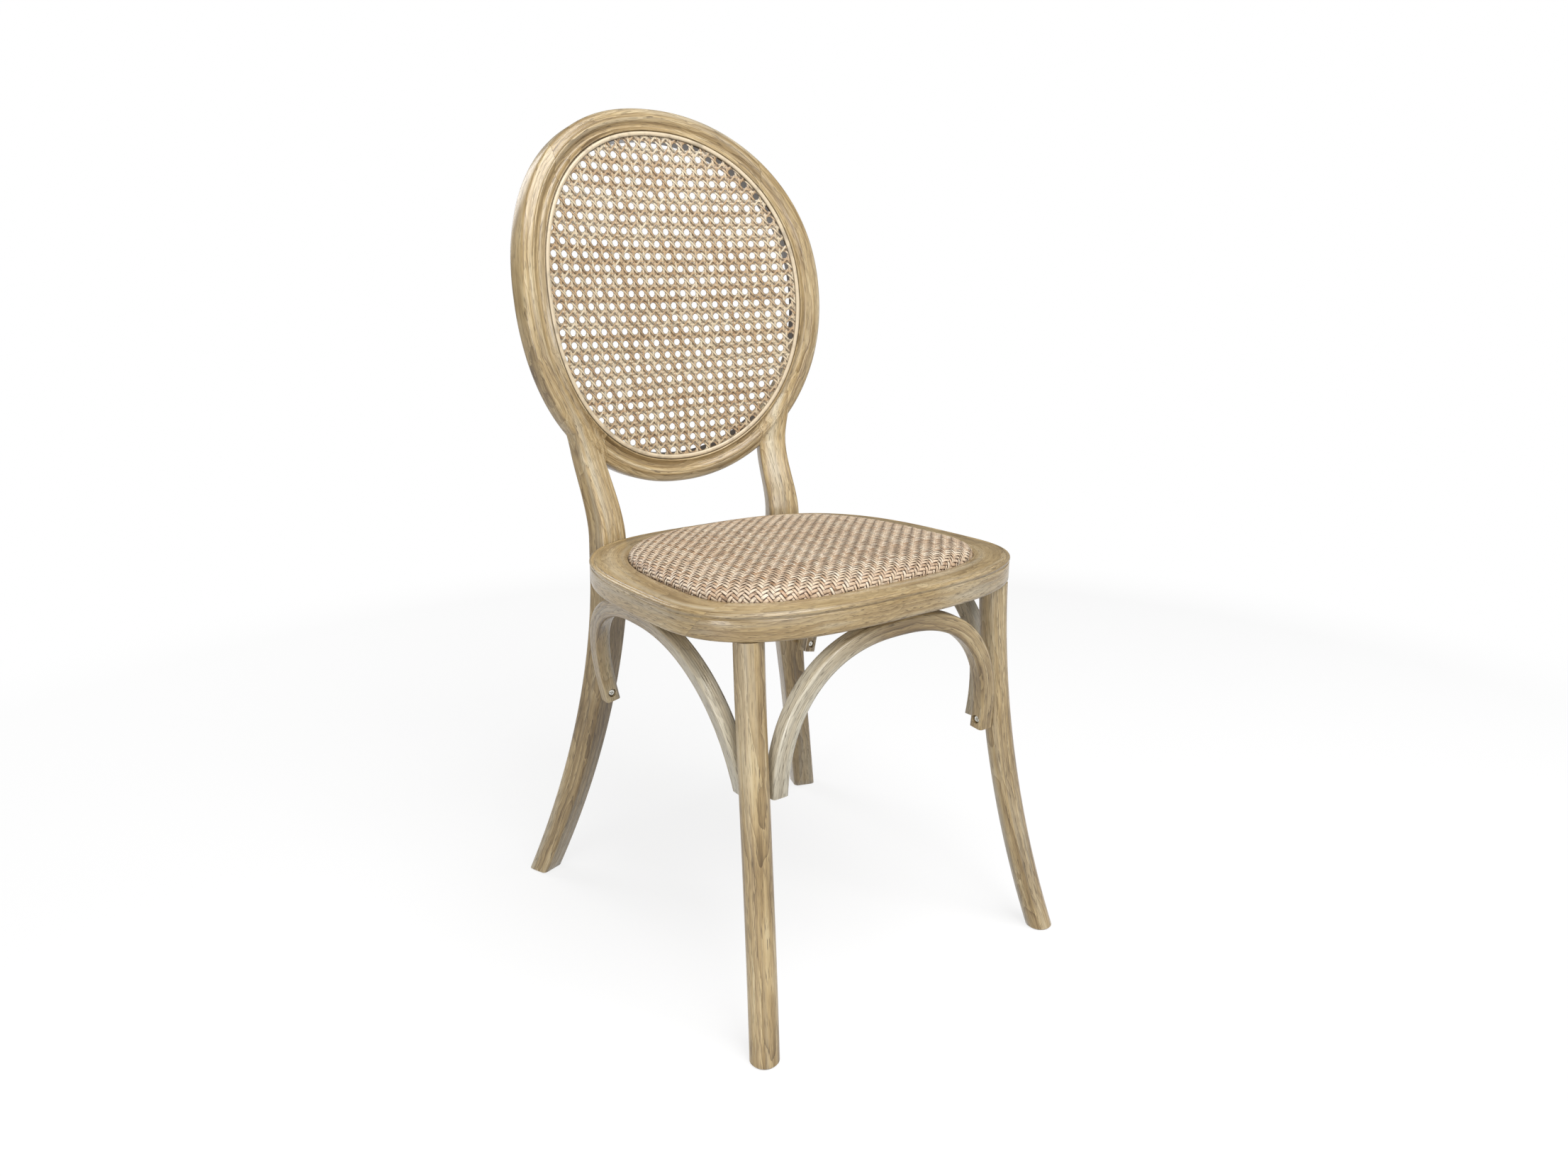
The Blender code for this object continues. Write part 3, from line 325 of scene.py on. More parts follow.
# %% Board, screws and the shade under the weave
def make_plywood():
    """Long fine grain over slow changes of tone, from brown to pale."""
    finish = Finish("plywood_board")
    place = finish.own_place()
    grain = finish.noise(place, (16.0, 420.0, 900.0), detail=4.0)
    broad = finish.noise(place, (4.0, 30.0, 10.0))
    tone = finish.math("MULTIPLY_ADD", broad, 0.6, finish.math("MULTIPLY", grain, 0.5))
    wood = finish.ramp(finish.spread(tone, 0.35, 0.75), (
        (0.0, linear(140, 108, 70)), (0.5, linear(176, 142, 98)),
        (1.0, linear(204, 174, 130))))
    return finish.surface(Base_Color=wood, Normal=finish.bump(grain, 0.0002, 0.5),
                          Roughness=finish.spread(grain, 0.3, 0.7, 0.5, 0.68))


def make_zinc():
    """Bright metal with slow stains in its colour and fine scuffs in its gloss."""
    finish = Finish("zinc_steel_bright")
    place = finish.own_place()
    scuffs = finish.noise(place, (900.0, 900.0, 900.0), detail=3.0)
    stain = finish.noise(place, (160.0, 160.0, 160.0))
    colour = finish.ramp(finish.spread(stain, 0.3, 0.7), (
        (0.0, linear(196, 194, 186)), (1.0, linear(236, 235, 229))))
    return finish.surface(Base_Color=colour, Metallic=1.0,
                          Roughness=finish.spread(scuffs, 0.3, 0.7, 0.22, 0.42),
                          Normal=finish.bump(scuffs, 0.00004, 0.5))


def make_pad_shade():
    """Rough, mottled brown, darkened as painted shade to look like the gaps between strips.
    """
    finish = Finish("natural_cane_pad_shade")
    place = finish.own_place()
    fibres = finish.noise(place, (700.0, 700.0, 700.0), detail=3.0)
    colour = finish.ramp(finish.spread(fibres, 0.3, 0.7), (
        (0.0, linear(74, 52, 36)), (1.0, linear(112, 82, 58))))
    return finish.surface(Base_Color=colour, Roughness=finish.spread(
        fibres, 0.3, 0.7, 0.75, 0.9), Normal=finish.bump(fibres, 0.0003, 0.6))


plywood, zinc, pad_shade = make_plywood(), make_zinc(), make_pad_shade()
print("other finishes:", plywood.name, zinc.name, pad_shade.name)

# %% [markdown]
# ## From arrays to a mesh
# Every new piece is a grid of points: rows go along the piece and columns go round it. The
# faces of such a grid are always the same pattern, so one function numbers them. Open ends
# get a cap. Which way the faces point depends on the order of the points, so the volume is
# measured with its sign, and a mesh that comes out negative is turned right side out.
# Shapes are worked out about the middle of the seat. The frame's origin is under the
# middle of the whole chair, which lies further back by the setback, so the setback comes
# off every y.

# %% Grids and meshes
SMOOTH_ANGLE = math.radians(38.0)
SETBACK = 0.1000


def grid_faces(rows, columns, closed=False):
    """Corner numbers of a grid's faces. Columns always join up; closed joins the rows."""
    row, column = np.meshgrid(np.arange(rows if closed else rows - 1),
                              np.arange(columns), indexing="ij")
    after, above = (column + 1) % columns, (row + 1) % rows
    return np.stack((row * columns + column, row * columns + after,
                     above * columns + after, above * columns + column),
                    axis=-1).reshape(-1, 4)


def length_along(*coordinates):
    """How far along a line each of its points is: the sum of the steps up to it."""
    steps = np.hypot.reduce([np.diff(values) for values in coordinates])
    return np.concatenate(((0.0,), np.cumsum(steps)))


def square_to(direction, other_way):
    """Two directions square to a given one and to each other, by two cross products."""
    side = np.cross(direction, other_way)
    side /= np.linalg.norm(side)
    return side, np.cross(direction, side)


def mesh_points(mesh):
    """All points of a mesh as an array, one row each."""
    points = np.empty(len(mesh.vertices) * 3)
    mesh.vertices.foreach_get("co", points)
    return points.reshape(-1, 3)


def signed_volume(mesh):
    """Sum over the triangles of corner 1 dot (corner 2 cross corner 3), over 6."""
    mesh.calc_loop_triangles()
    corners = np.empty(len(mesh.loop_triangles) * 3, dtype=np.int32)
    mesh.loop_triangles.foreach_get("vertices", corners)
    triangles = mesh_points(mesh)[corners].reshape(-1, 3, 3)
    crossed = np.cross(triangles[:, 1], triangles[:, 2])
    return float(np.einsum("ij,ij->", triangles[:, 0], crossed)) / 6.0


print("faces of a grid of 3 by 4:", len(grid_faces(3, 4)))

# %% Values on points, meshes and pieces
def set_vectors(mesh, label, values):
    """Give every point of a mesh a vector of its own."""
    layer = mesh.attributes.new(label, "FLOAT_VECTOR", "POINT")
    layer.data.foreach_set("vector", np.asarray(values, dtype=np.float32).ravel())


def set_shares(mesh, label, values):
    """Give every point of a mesh a value from 0 to 1."""
    layer = mesh.attributes.new(label, "FLOAT", "POINT")
    layer.data.foreach_set("value",
                           np.ascontiguousarray(values, dtype=np.float32).ravel())


def make_mesh(name, points, faces, label="", values=None):
    """A mesh that faces outwards and looks smooth up to the sharp angle."""
    mesh = bpy.data.meshes.new(name)
    mesh.from_pydata(points.reshape(-1, 3).tolist(), [], faces)
    if label:
        set_vectors(mesh, label, values)
    if signed_volume(mesh) < 0.0:
        mesh.flip_normals()
    mesh.shade_smooth()
    mesh.set_sharp_from_angle(angle=SMOOTH_ANGLE)
    return mesh


def sweep_mesh(name, rings, grain=None, closed=False):
    """Join rings of points, shaped (rows, columns, 3), and cap the ends if not closed."""
    rows, columns, _ = rings.shape
    faces = grid_faces(rows, columns, closed).tolist()
    if not closed:
        faces.append(list(range(columns))[::-1])
        faces.append(list(range((rows - 1) * columns, rows * columns)))
    return make_mesh(name, rings, faces, "grain" if grain is not None else "", grain)


def add_piece(mesh, material, slot, *nodes):
    """Show a mesh as a piece of the chair, in the place of some of the frame's nodes."""
    piece = bpy.data.objects.new(mesh.name, mesh)
    bpy.context.scene.collection.objects.link(piece)
    mesh.materials.append(material)
    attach(piece, "root")
    if nodes:
        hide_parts(*nodes)
    print(mesh.name, "has", len(mesh.polygons), "faces")
    return piece


# %% [markdown]
# ## The seat's outline
# Seen from above the seat is an oval with full corners, rounder in front than behind. A
# squared oval does this: add the sideways and the lengthways share, each raised to a power
# near 3, and the sum is 1 on the line. The opening for the woven seat is another one.

# %% Outlines of the seat
SEAT_HEIGHT = 0.4600
SEAT_UNDERSIDE = 0.4306
SEAT_HALF_WIDTH, SEAT_FRONT, SEAT_BACK = 0.2275, 0.1490, 0.2650
SEAT_FRONT_POWER, SEAT_BACK_POWER = 2.87, 3.15
MOUTH_HALF_WIDTH, MOUTH_FRONT, MOUTH_BACK = 0.1880, 0.1100, 0.2340
MOUTH_POWER = 2.9


def squared_oval(angle, half_width, front, back, front_power, back_power):
    """Radius at an angle from the front: (|sin|/width)^p + (|cos|/reach)^p = radius^-p."""
    before = np.cos(angle) > 0
    power = np.where(before, front_power, back_power)
    reach = np.where(before, front, back)
    return ((np.abs(np.sin(angle)) / half_width) ** power
            + (np.abs(np.cos(angle)) / reach) ** power) ** (-1.0 / power)


def seat_edge(angle):
    """The squared oval of the seat's rim."""
    return squared_oval(angle, SEAT_HALF_WIDTH, SEAT_FRONT, SEAT_BACK,
                        SEAT_FRONT_POWER, SEAT_BACK_POWER)


def seat_mouth(angle):
    """The squared oval of the opening for the woven seat."""
    return squared_oval(angle, MOUTH_HALF_WIDTH, MOUTH_FRONT, MOUTH_BACK,
                        MOUTH_POWER, MOUTH_POWER)


def from_seat_middle(angle, radius, height):
    """Angle and radius round the seat's middle, as x, y and z."""
    return np.stack(np.broadcast_arrays(
        radius * np.sin(angle), -radius * np.cos(angle) - SETBACK, height), axis=-1)


print("seat:", 2 * SEAT_HALF_WIDTH, "m wide,", round(SEAT_FRONT + SEAT_BACK, 4), "m deep")

# %% [markdown]
# ## The seat ring
# The ring is bent from four lengths. From above it shows a flat face, a thin groove and a
# round bead at the rim; the side is upright below a dark quirk under the bead, with a soft
# lower edge. One section holds all of that. Its outer points are measured from the rim and
# its inner points from the opening, so the section widens and narrows as the ring does.
# The joints are scarfs: their angle changes from the top of the ring to its underside.

# %% Section of the ring
LEDGE_HEIGHT = 0.4421
LEDGE_WIDTH = 0.0100
SIDE_INSET = 0.0010
SIDE_ROUND = 0.0034
BEAD_RADIUS = 0.0027


def ring_section():
    """Columns: 0 from the rim or 1 from the opening, offset outwards, height."""
    corner = np.radians(np.linspace(-90.0, 0.0, 7))
    bead = np.radians(np.linspace(-62.0, 96.0, 13))
    lower = np.stack((np.zeros(7), -SIDE_INSET - SIDE_ROUND * (1 - np.cos(corner)),
                      SEAT_UNDERSIDE + SIDE_ROUND * (1 + np.sin(corner))), axis=1)
    rim = np.stack((np.zeros(13), BEAD_RADIUS * (np.cos(bead) - 1.0),
                    SEAT_HEIGHT - BEAD_RADIUS * (1.0 - np.sin(bead))), axis=1)
    side = [(0, -0.0009, 0.4400), (0, -0.0008, 0.4480), (0, -0.0008, 0.4528),
            (0, -0.0011, 0.4534), (0, -0.0016, 0.4538), (0, -0.0015, 0.4543)]
    top = [(0, -0.0040, 0.4596), (0, -0.0046, 0.4588), (0, -0.0053, 0.4586),
           (0, -0.0060, 0.4590), (0, -0.0064, 0.4597), (0, -0.0072, 0.4600),
           (1, 0.0120, 0.4600), (1, 0.0026, 0.4600), (1, 0.0012, 0.4597),
           (1, 0.0003, 0.4590), (1, 0.0000, 0.4578), (1, 0.0000, LEDGE_HEIGHT),
           (1, -LEDGE_WIDTH, LEDGE_HEIGHT), (1, -LEDGE_WIDTH, SEAT_UNDERSIDE)]
    return np.concatenate((lower, side, rim, top))


# %% The four lengths of the ring
JOINT_GAP = 0.0003
RING_JOINT_GAP = 0.00012
SCARF_TURN = 7.0
RING_STEP = 1.0
RING_SECTION = ring_section()
print("section of the ring:", len(RING_SECTION), "points")


def joint_angles(angle, scarf):
    """The joint's angle at each point of the section, in degrees."""
    low = (SEAT_HEIGHT - RING_SECTION[:, 2]) / (SEAT_HEIGHT - SEAT_UNDERSIDE)
    return angle + scarf * (low - 0.5)


def make_rail(name, start, end, start_scarf, end_scarf):
    """Rings from one joint to the next; each point goes between its own two angles."""
    rows = int((end - start) / RING_STEP) + 1
    share = np.linspace(0.0, 1.0, rows)[:, None]
    trim = math.degrees(RING_JOINT_GAP / 2 / SEAT_HALF_WIDTH)
    first = joint_angles(start, start_scarf) + trim
    last = joint_angles(end, end_scarf) - trim
    angle = np.radians(first * (1.0 - share) + last * share)
    inner, offset, height = RING_SECTION.T
    radius = np.where(inner > 0.5, seat_mouth(angle), seat_edge(angle)) + offset
    grain = np.stack(np.broadcast_arrays(radius - seat_mouth(angle), height,
                                         angle * SEAT_HALF_WIDTH), axis=-1)
    mesh = sweep_mesh(name, from_seat_middle(angle, radius, height), grain)
    return add_piece(mesh, ring_oak, "limed_oak", name)


LEFT_JOINT, RIGHT_JOINT, REAR_JOINT = -72.0, 22.0, 158.0
make_rail("seat_front_rail", LEFT_JOINT, RIGHT_JOINT, -SCARF_TURN, SCARF_TURN)
make_rail("seat_right_rail", RIGHT_JOINT, REAR_JOINT, SCARF_TURN, 0.0)
make_rail("seat_rear_rail", REAR_JOINT, 360.0 - REAR_JOINT, 0.0, 0.0)
make_rail("seat_left_rail", 360.0 - REAR_JOINT, 360.0 + LEFT_JOINT, 0.0, -SCARF_TURN)

# %% [markdown]
# ## The crown of the woven seat
# The woven seat stands proud of the ring in a low crown. It falls slowly towards the back
# and steeply at the front, where it dips into the ring. The height depends on the share of
# the way out to the edge. Cloth laid on such a crown keeps its size, so distances on it are
# measured along the surface: the helper below turns a flat place on the cloth into a place
# on the crown. It tabulates how far along the surface each share lies, for several radii.

# %% A flat place on the cloth, laid on the crown
CROWN, EDGE_DROP = 0.0210, 0.0030
PAD_CLEARANCE = 0.0006
CROWN_POWER, CROWN_LIFT_POWER = 3.0, 0.33
RIM_DEPTH = 0.0040
BOARD_TOP = 0.4514
RADIUS_TABLE = np.linspace(0.10, 0.30, 11)


def crown_curve(steps=240):
    """Share outwards and height of the crown, crowded near the rim, then the rim."""
    crowd = np.linspace(0.0, 1.0, steps)
    share = 1.0 - (1.0 - crowd) ** 5
    lift = (1.0 - share ** CROWN_POWER) ** CROWN_LIFT_POWER
    height = SEAT_HEIGHT - EDGE_DROP + (CROWN + EDGE_DROP) * lift
    share = np.append(share, 1.0)
    return share, np.append(height, SEAT_HEIGHT - EDGE_DROP - RIM_DEPTH)


CROWN_SHARE, CROWN_HEIGHT = crown_curve()


def table_weights(rim):
    """Each radius of the table with its weight: 1 there, evenly down to 0 at the next."""
    spacing = RADIUS_TABLE[1] - RADIUS_TABLE[0]
    return [(radius, np.clip(1.0 - np.abs(rim - radius) / spacing, 0.0, 1.0))
            for radius in RADIUS_TABLE]


def on_crown(along_x, along_y, proud):
    """A place on the cloth, found on the crown, then moved out along the surface."""
    angle = np.arctan2(along_x, -along_y)
    rim = seat_mouth(angle) - PAD_CLEARANCE
    cloth_share = np.hypot(along_x, along_y) / rim
    share, height = np.zeros_like(angle), np.zeros_like(angle)
    slope_out, slope_up = np.zeros_like(angle), np.zeros_like(angle)
    for radius, weight in table_weights(rim):
        out, up = np.diff(CROWN_SHARE * radius), np.diff(CROWN_HEIGHT)
        length = np.hypot(out, up)
        reached = np.concatenate(((0.0,), np.cumsum(length))) / radius
        middle = (reached[1:] + reached[:-1]) / 2
        share += weight * np.interp(cloth_share, reached, CROWN_SHARE)
        height += weight * np.interp(cloth_share, reached, CROWN_HEIGHT)
        slope_out += weight * np.interp(cloth_share, middle, out / length)
        slope_up += weight * np.interp(cloth_share, middle, up / length)
    steep = np.hypot(slope_out, slope_up)
    radius = share * rim - proud * slope_up / steep
    return from_seat_middle(angle, radius, height + proud * slope_out / steep)


def cloth_limit(angle):
    """How far out the cloth reaches at an angle, measured along the crown."""
    rim = seat_mouth(angle) - PAD_CLEARANCE
    reach = np.zeros_like(rim)
    for radius, weight in table_weights(rim):
        length = np.hypot(np.diff(CROWN_SHARE * radius), np.diff(CROWN_HEIGHT)).sum()
        reach += weight * length / radius * rim
    return reach


print("cloth from front to back:",
      round(float(cloth_limit(np.array([0.0, math.pi])).sum()), 4), "m")

# %% [markdown]
# ## The pad under the weave
# Between the strands of the seat one looks into shade. A closed pad of the same crown, a
# little lower than the weave, is coloured dark brown as painted shade and keeps light from
# shining through. It is the padded piece of the chair, and stands for the solid of the
# woven seat.

# %% Pad
PAD_DEPTH_BELOW_WEAVE = 0.0021


def make_pad():
    """Rings of the crown from the top's middle outwards, then down to the board."""
    angle = np.linspace(0.0, 2.0 * np.pi, 144, endpoint=False)
    share = (1.0 - (1.0 - np.linspace(0.02, 1.0, 40)) ** 2)[:, None]
    limit = cloth_limit(angle) - RIM_DEPTH
    x, y = share * limit * np.sin(angle), -share * limit * np.cos(angle)
    top = on_crown(x, y, -PAD_DEPTH_BELOW_WEAVE)
    foot = top[-1].copy()
    foot[:, 2] = BOARD_TOP + JOINT_GAP
    return sweep_mesh("seat_pad", np.concatenate((top, foot[None])))


pad = add_piece(make_pad(), pad_shade, "natural_cane", "seat_woven_panel")

# %% [markdown]
# ## Strands
# Both weaves are made of flat strands: a strand is a path with a narrow section that is
# crowned on top. Four points round the section are enough, because a strand is only a few
# millimetres wide and there are hundreds. The path is drawn flat, as two lengths on the
# cloth and a height above it, and a laying function puts its points on the crown or on the
# bowed back.

# %% Strands on a surface
SECTION_ACROSS = np.array((-1.0, 0.0, 1.0, 0.0))
SECTION_UP = np.array((-0.25, 1.0, -0.25, -1.0))


def strand_points(path, sideways, half_width, half_thickness):
    """Path points (n, 3) widened by the section: across along sideways, up along z."""
    across = SECTION_ACROSS[None, :, None] * half_width * sideways
    lifted = np.zeros((1, 4, 3))
    lifted[0, :, 2] = SECTION_UP * half_thickness
    return path[:, None, :] + across + lifted


def weave_mesh(name, strands, lay):
    """All strands in one mesh; lay turns flat points into places on the surface.

    Each strand is (path, sideways, half width, half thickness, own number).
    """
    points, values, lifts, faces, first = [], [], [], [], 0
    for path, sideways, half_width, half_thickness, own in strands:
        rings = strand_points(path, np.asarray(sideways), half_width, half_thickness)
        length = length_along(path[:, 0], path[:, 1])[:, None]
        value = np.stack(np.broadcast_arrays(length, SECTION_ACROSS, own), axis=-1)
        rows = len(path)
        faces += (grid_faces(rows, 4) + first).tolist()
        faces.append([first + 3, first + 2, first + 1, first])
        faces.append([first + (rows - 1) * 4 + corner for corner in range(4)])
        points.append(rings.reshape(-1, 3))
        values.append(value.reshape(-1, 3))
        height = path[:, 2]
        lifts.append(np.repeat((height - height.min()) / (np.ptp(height) + 1e-9), 4))
        first += rows * 4
    flat = np.concatenate(points)
    placed = lay(flat[:, 0], flat[:, 1], flat[:, 2])
    mesh = make_mesh(name, placed, faces, "strand", np.concatenate(values))
    set_shares(mesh, "lift", np.concatenate(lifts))
    return mesh


# %% [markdown]
# ## The woven seat
# The seat is a twill of flat straw-coloured strips: each goes over two and under two, and
# the next one is a step further on, which draws slanting lines of chevrons. A strip's
# height along its length is a softened square wave, and the strips of the other direction
# have the same wave upside down. Small seeded changes in width, place and height keep the
# weave from looking printed.

# %% The two sets of strips
STRIP_PITCH = 0.00427
STRIP_HALF_WIDTH = 0.00190
STRIP_HALF_THICKNESS = 0.00038
STRIP_WAVE = 0.00062
WEAVE_LEVEL = -0.00100
WAVE_SHARPNESS = 2.0
STRIP_DRIFT, STRIP_LIFT = 0.00022, 0.00012
SAMPLES_PER_CELL = 3
STRIPS_EACH_WAY, FEWEST_SAMPLES = 70, 12
CLOTH_RUN = np.linspace(-0.30, 0.32, 1500)
random = np.random.default_rng(7)


def twill(step_x, step_y):
    """1 where lengthways strips are on top, -1 where crossways ones are."""
    phase = np.cos(2.0 * np.pi * (step_x - step_y - 0.5) / 4.0)
    return np.tanh(WAVE_SHARPNESS * phase) / math.tanh(WAVE_SHARPNESS)


def seat_strips(lengthways):
    """Strips at the pitch, each cut where it reaches the rim, as paths on the cloth."""
    strips = []
    for number in range(-STRIPS_EACH_WAY, STRIPS_EACH_WAY + 1):
        place = (number + 0.5) * STRIP_PITCH
        beside = np.full_like(CLOTH_RUN, place)
        x, y = (beside, CLOTH_RUN) if lengthways else (CLOTH_RUN, beside)
        inside = CLOTH_RUN[np.hypot(x, y) < cloth_limit(np.arctan2(x, -y))]
        wobble, breadth, own, lift = random.random(4)
        if len(inside) < FEWEST_SAMPLES:
            continue
        start, end = inside[0], inside[-1]
        count = max(4, int((end - start) / STRIP_PITCH * SAMPLES_PER_CELL))
        run = np.linspace(start, end, count)
        drift = STRIP_DRIFT * np.sin(run * (22.0 + 30.0 * wobble) + 40.0 * own)
        step = run / STRIP_PITCH - 0.5
        wave = twill(number, step) if lengthways else -twill(step, number)
        height = WEAVE_LEVEL + STRIP_WAVE * wave + STRIP_LIFT * (lift - 0.5)
        ordered = (place + drift, run) if lengthways else (run, place + drift)
        path = np.stack((*ordered, height), axis=1)
        sideways = (1.0, 0.0, 0.0) if lengthways else (0.0, 1.0, 0.0)
        half_width = STRIP_HALF_WIDTH * (0.93 + 0.12 * breadth)
        strips.append((path, sideways, half_width, STRIP_HALF_THICKNESS, own))
    return strips


for name, lengthways in (("seat_weave_lengthways", True), ("seat_weave_crossways", False)):
    strips = seat_strips(lengthways)
    add_piece(weave_mesh(name, strips, on_crown), straw, "natural_cane",
              "seat_woven_panel")
    print(name, "has", len(strips), "strips")

# %% [markdown]
# ## The bowed back
# The oval is not flat. It leans back, bows round the sitter from side to side, and curls a
# little from top to bottom. Every piece of the back is drawn flat, as across, up and proud
# of the cane, and one function lays it on this bowed surface.

# %% A flat place, laid on the bowed back
BACK_LEAN = math.radians(7.40)
BACK_START = 0.2734
BOW_RADIUS, CURL_RADIUS = 0.707, 1.658
OVAL_LEVEL = 0.2975
UP_THE_BACK = np.array((0.0, math.sin(BACK_LEAN), math.cos(BACK_LEAN)))
BEHIND = np.array((0.0, math.cos(BACK_LEAN), -math.sin(BACK_LEAN)))
SIDEWAYS = np.array((1.0, 0.0, 0.0))


def on_back(across, up, proud):
    """Lean and bow: depth is -across^2/2R + up^2/2R', and proud goes along the normal."""
    across, up, proud = np.broadcast_arrays(across, up, proud)
    above = up - OVAL_LEVEL
    depth = -across ** 2 / (2.0 * BOW_RADIUS) + above ** 2 / (2.0 * CURL_RADIUS)
    foot = np.array((0.0, BACK_START - SETBACK, SEAT_HEIGHT))
    point = (foot + across[..., None] * SIDEWAYS + up[..., None] * UP_THE_BACK
             + depth[..., None] * BEHIND)
    normal = (BEHIND + (across / BOW_RADIUS)[..., None] * SIDEWAYS
              - (above / CURL_RADIUS)[..., None] * UP_THE_BACK)
    normal /= np.linalg.norm(normal, axis=-1, keepdims=True)
    return point - proud[..., None] * normal


# %% [markdown]
# ## The oval frame
# The oval is a moulded band: from the cane outwards a rebate with the reed, a small bead, a
# cove, a roll with a thin line on it, and a rounded outer side. The section is a table of
# points, smoothed, with the thin line pressed in after. The band is swept round the oval.
# The joints are upright cuts, so each point of the section ends where its own curve meets
# the cut; that angle is found by halving a range.

# %% Section of the oval frame
OVAL_HALF_WIDTH, OVAL_RISE, OVAL_DROP = 0.1783, 0.1941, 0.2046
ROUND_ABOVE, ROUND_BELOW = 2.12, 2.13
REBATE = 0.0066
CANE_BEHIND = -0.0018
FRAME_WIDTH, FRAME_DEPTH = 0.0367, 0.0270
BACK_ROUND = 0.0060
FACE_OUT = (0.0067, 0.0070, 0.0078, 0.0086, 0.0094, 0.0106, 0.0126, 0.0148, 0.0171,
            0.0190, 0.0208, 0.0225, 0.0245, 0.0265, 0.0287, 0.0309, 0.0329, 0.0346,
            0.0359, 0.0366)
FACE_LIFT = (0.0004, 0.0013, 0.0020, 0.0018, 0.0004, -0.0018, -0.0033, -0.0037, -0.0031,
             -0.0009, 0.0004, 0.0011, 0.0012, 0.0009, -0.0004, -0.0014, -0.0020, -0.0029,
             -0.0042, -0.0062)
LINE_PLACE, LINE_DEPTH, LINE_HALF_WIDTH = 0.0240, 0.0005, 0.0005


def frame_section():
    """Out and proud all round: rebate, smoothed face, outer side, back, inner side."""
    along = np.linspace(0.0, len(FACE_OUT) - 1.0, 58)
    table = np.arange(len(FACE_OUT))
    out, lift = np.interp(along, table, FACE_OUT), np.interp(along, table, FACE_LIFT)
    for _ in range(2):
        out[1:-1] = (out[:-2] + 2.0 * out[1:-1] + out[2:]) / 4.0
        lift[1:-1] = (lift[:-2] + 2.0 * lift[1:-1] + lift[2:]) / 4.0
    lift -= LINE_DEPTH * np.exp(-((out - LINE_PLACE) / LINE_HALF_WIDTH) ** 2)
    corner = np.radians(np.linspace(0.0, 90.0, 6))
    side = FRAME_WIDTH - BACK_ROUND * (1.0 - np.cos(corner))
    low = -FRAME_DEPTH + BACK_ROUND * (1.0 - np.sin(corner))
    inner = BACK_ROUND * (1.0 - np.sin(corner))
    return np.stack((np.concatenate(((0.0, REBATE), out, side, inner)),
                     np.concatenate(((CANE_BEHIND, CANE_BEHIND), lift, low,
                                     low[::-1]))), axis=1)


def oval_half(above, grown):
    """Reach and power of the oval's upper or lower half, for an oval grown outwards."""
    return (np.where(above, OVAL_RISE, OVAL_DROP) + grown,
            np.where(above, ROUND_ABOVE, ROUND_BELOW))


def oval_point(theta, out):
    """Across and up at an angle from the right side: |cos|^p + |sin|^p = size^-p."""
    reach, power = oval_half(np.sin(theta) >= 0.0, out)
    size = (np.abs(np.cos(theta)) ** power + np.abs(np.sin(theta)) ** power
            ) ** (-1.0 / power)
    return ((OVAL_HALF_WIDTH + out) * size * np.cos(theta),
            OVAL_LEVEL + reach * size * np.sin(theta))


def cut_angle(half_width, out, above):
    """Angle on the right at which each grown oval crosses an upright cut, by halving."""
    low, high = np.zeros_like(out), np.full_like(out, np.pi / 2)
    for _ in range(40):
        middle = (low + high) / 2
        wide = oval_point(middle if above else -middle, out)[0] > half_width
        low, high = np.where(wide, middle, low), np.where(wide, high, middle)
    return low if above else -low


# %% Bands of the oval
TOP_JOINT, FOOT_JOINT = 0.1480, 0.1170
FRAME_SECTION = frame_section()
BAND_STEP = math.radians(1.6)
print("section of the frame:", len(FRAME_SECTION), "points")


def band_mesh(name, start, end):
    """Sweep the section between two angles, each given for every point of the section."""
    out, proud = FRAME_SECTION.T
    rows = int(abs(float((end - start).mean())) / BAND_STEP) + 2
    share = np.linspace(0.0, 1.0, rows)[:, None]
    theta = start * (1.0 - share) + end * share
    across, up = oval_point(theta, out)
    length = length_along(*oval_point(theta.mean(axis=1), 0.0))[:, None]
    grain = np.stack(np.broadcast_arrays(out, proud, length), axis=-1)
    mesh = sweep_mesh(name, on_back(across, up, proud), grain)
    # The wall behind the cane is marked for painted shade, darkened in the oak finish.
    wall_behind_cane = (out < 0.0001) & (proud < 0.0)
    set_shares(mesh, "painted_wall_shade", np.broadcast_to(wall_behind_cane, (rows, len(out))))
    return mesh


section_out = FRAME_SECTION[:, 0]
top_angle = cut_angle(TOP_JOINT, section_out, True)
foot_angle = cut_angle(FOOT_JOINT, section_out, False)
top_clear = cut_angle(TOP_JOINT + JOINT_GAP, section_out, True)
foot_clear = cut_angle(FOOT_JOINT + JOINT_GAP, section_out, False)
add_piece(band_mesh("back_top_rail", top_angle, np.pi - top_angle), bent_oak,
          "limed_oak", "back_top_rail")
add_piece(band_mesh("back_bottom_rail", foot_angle, -np.pi - foot_angle), bent_oak,
          "limed_oak", "back_bottom_rail")

# %% [markdown]
# ## Rear legs
# Each rear leg is one bent stick: a squared post that splays out below the seat, passes
# behind the ring, leans back and flares into the side of the oval. The post is a rounded
# rectangle that changes size with height, and the side of the oval is the moulded band
# again. They are made apart and joined with a boolean, so the oval's outer edge can still
# be made out across the front of the post. The grain is worked out afterwards from one
# centre line that runs up the post and on round the oval.

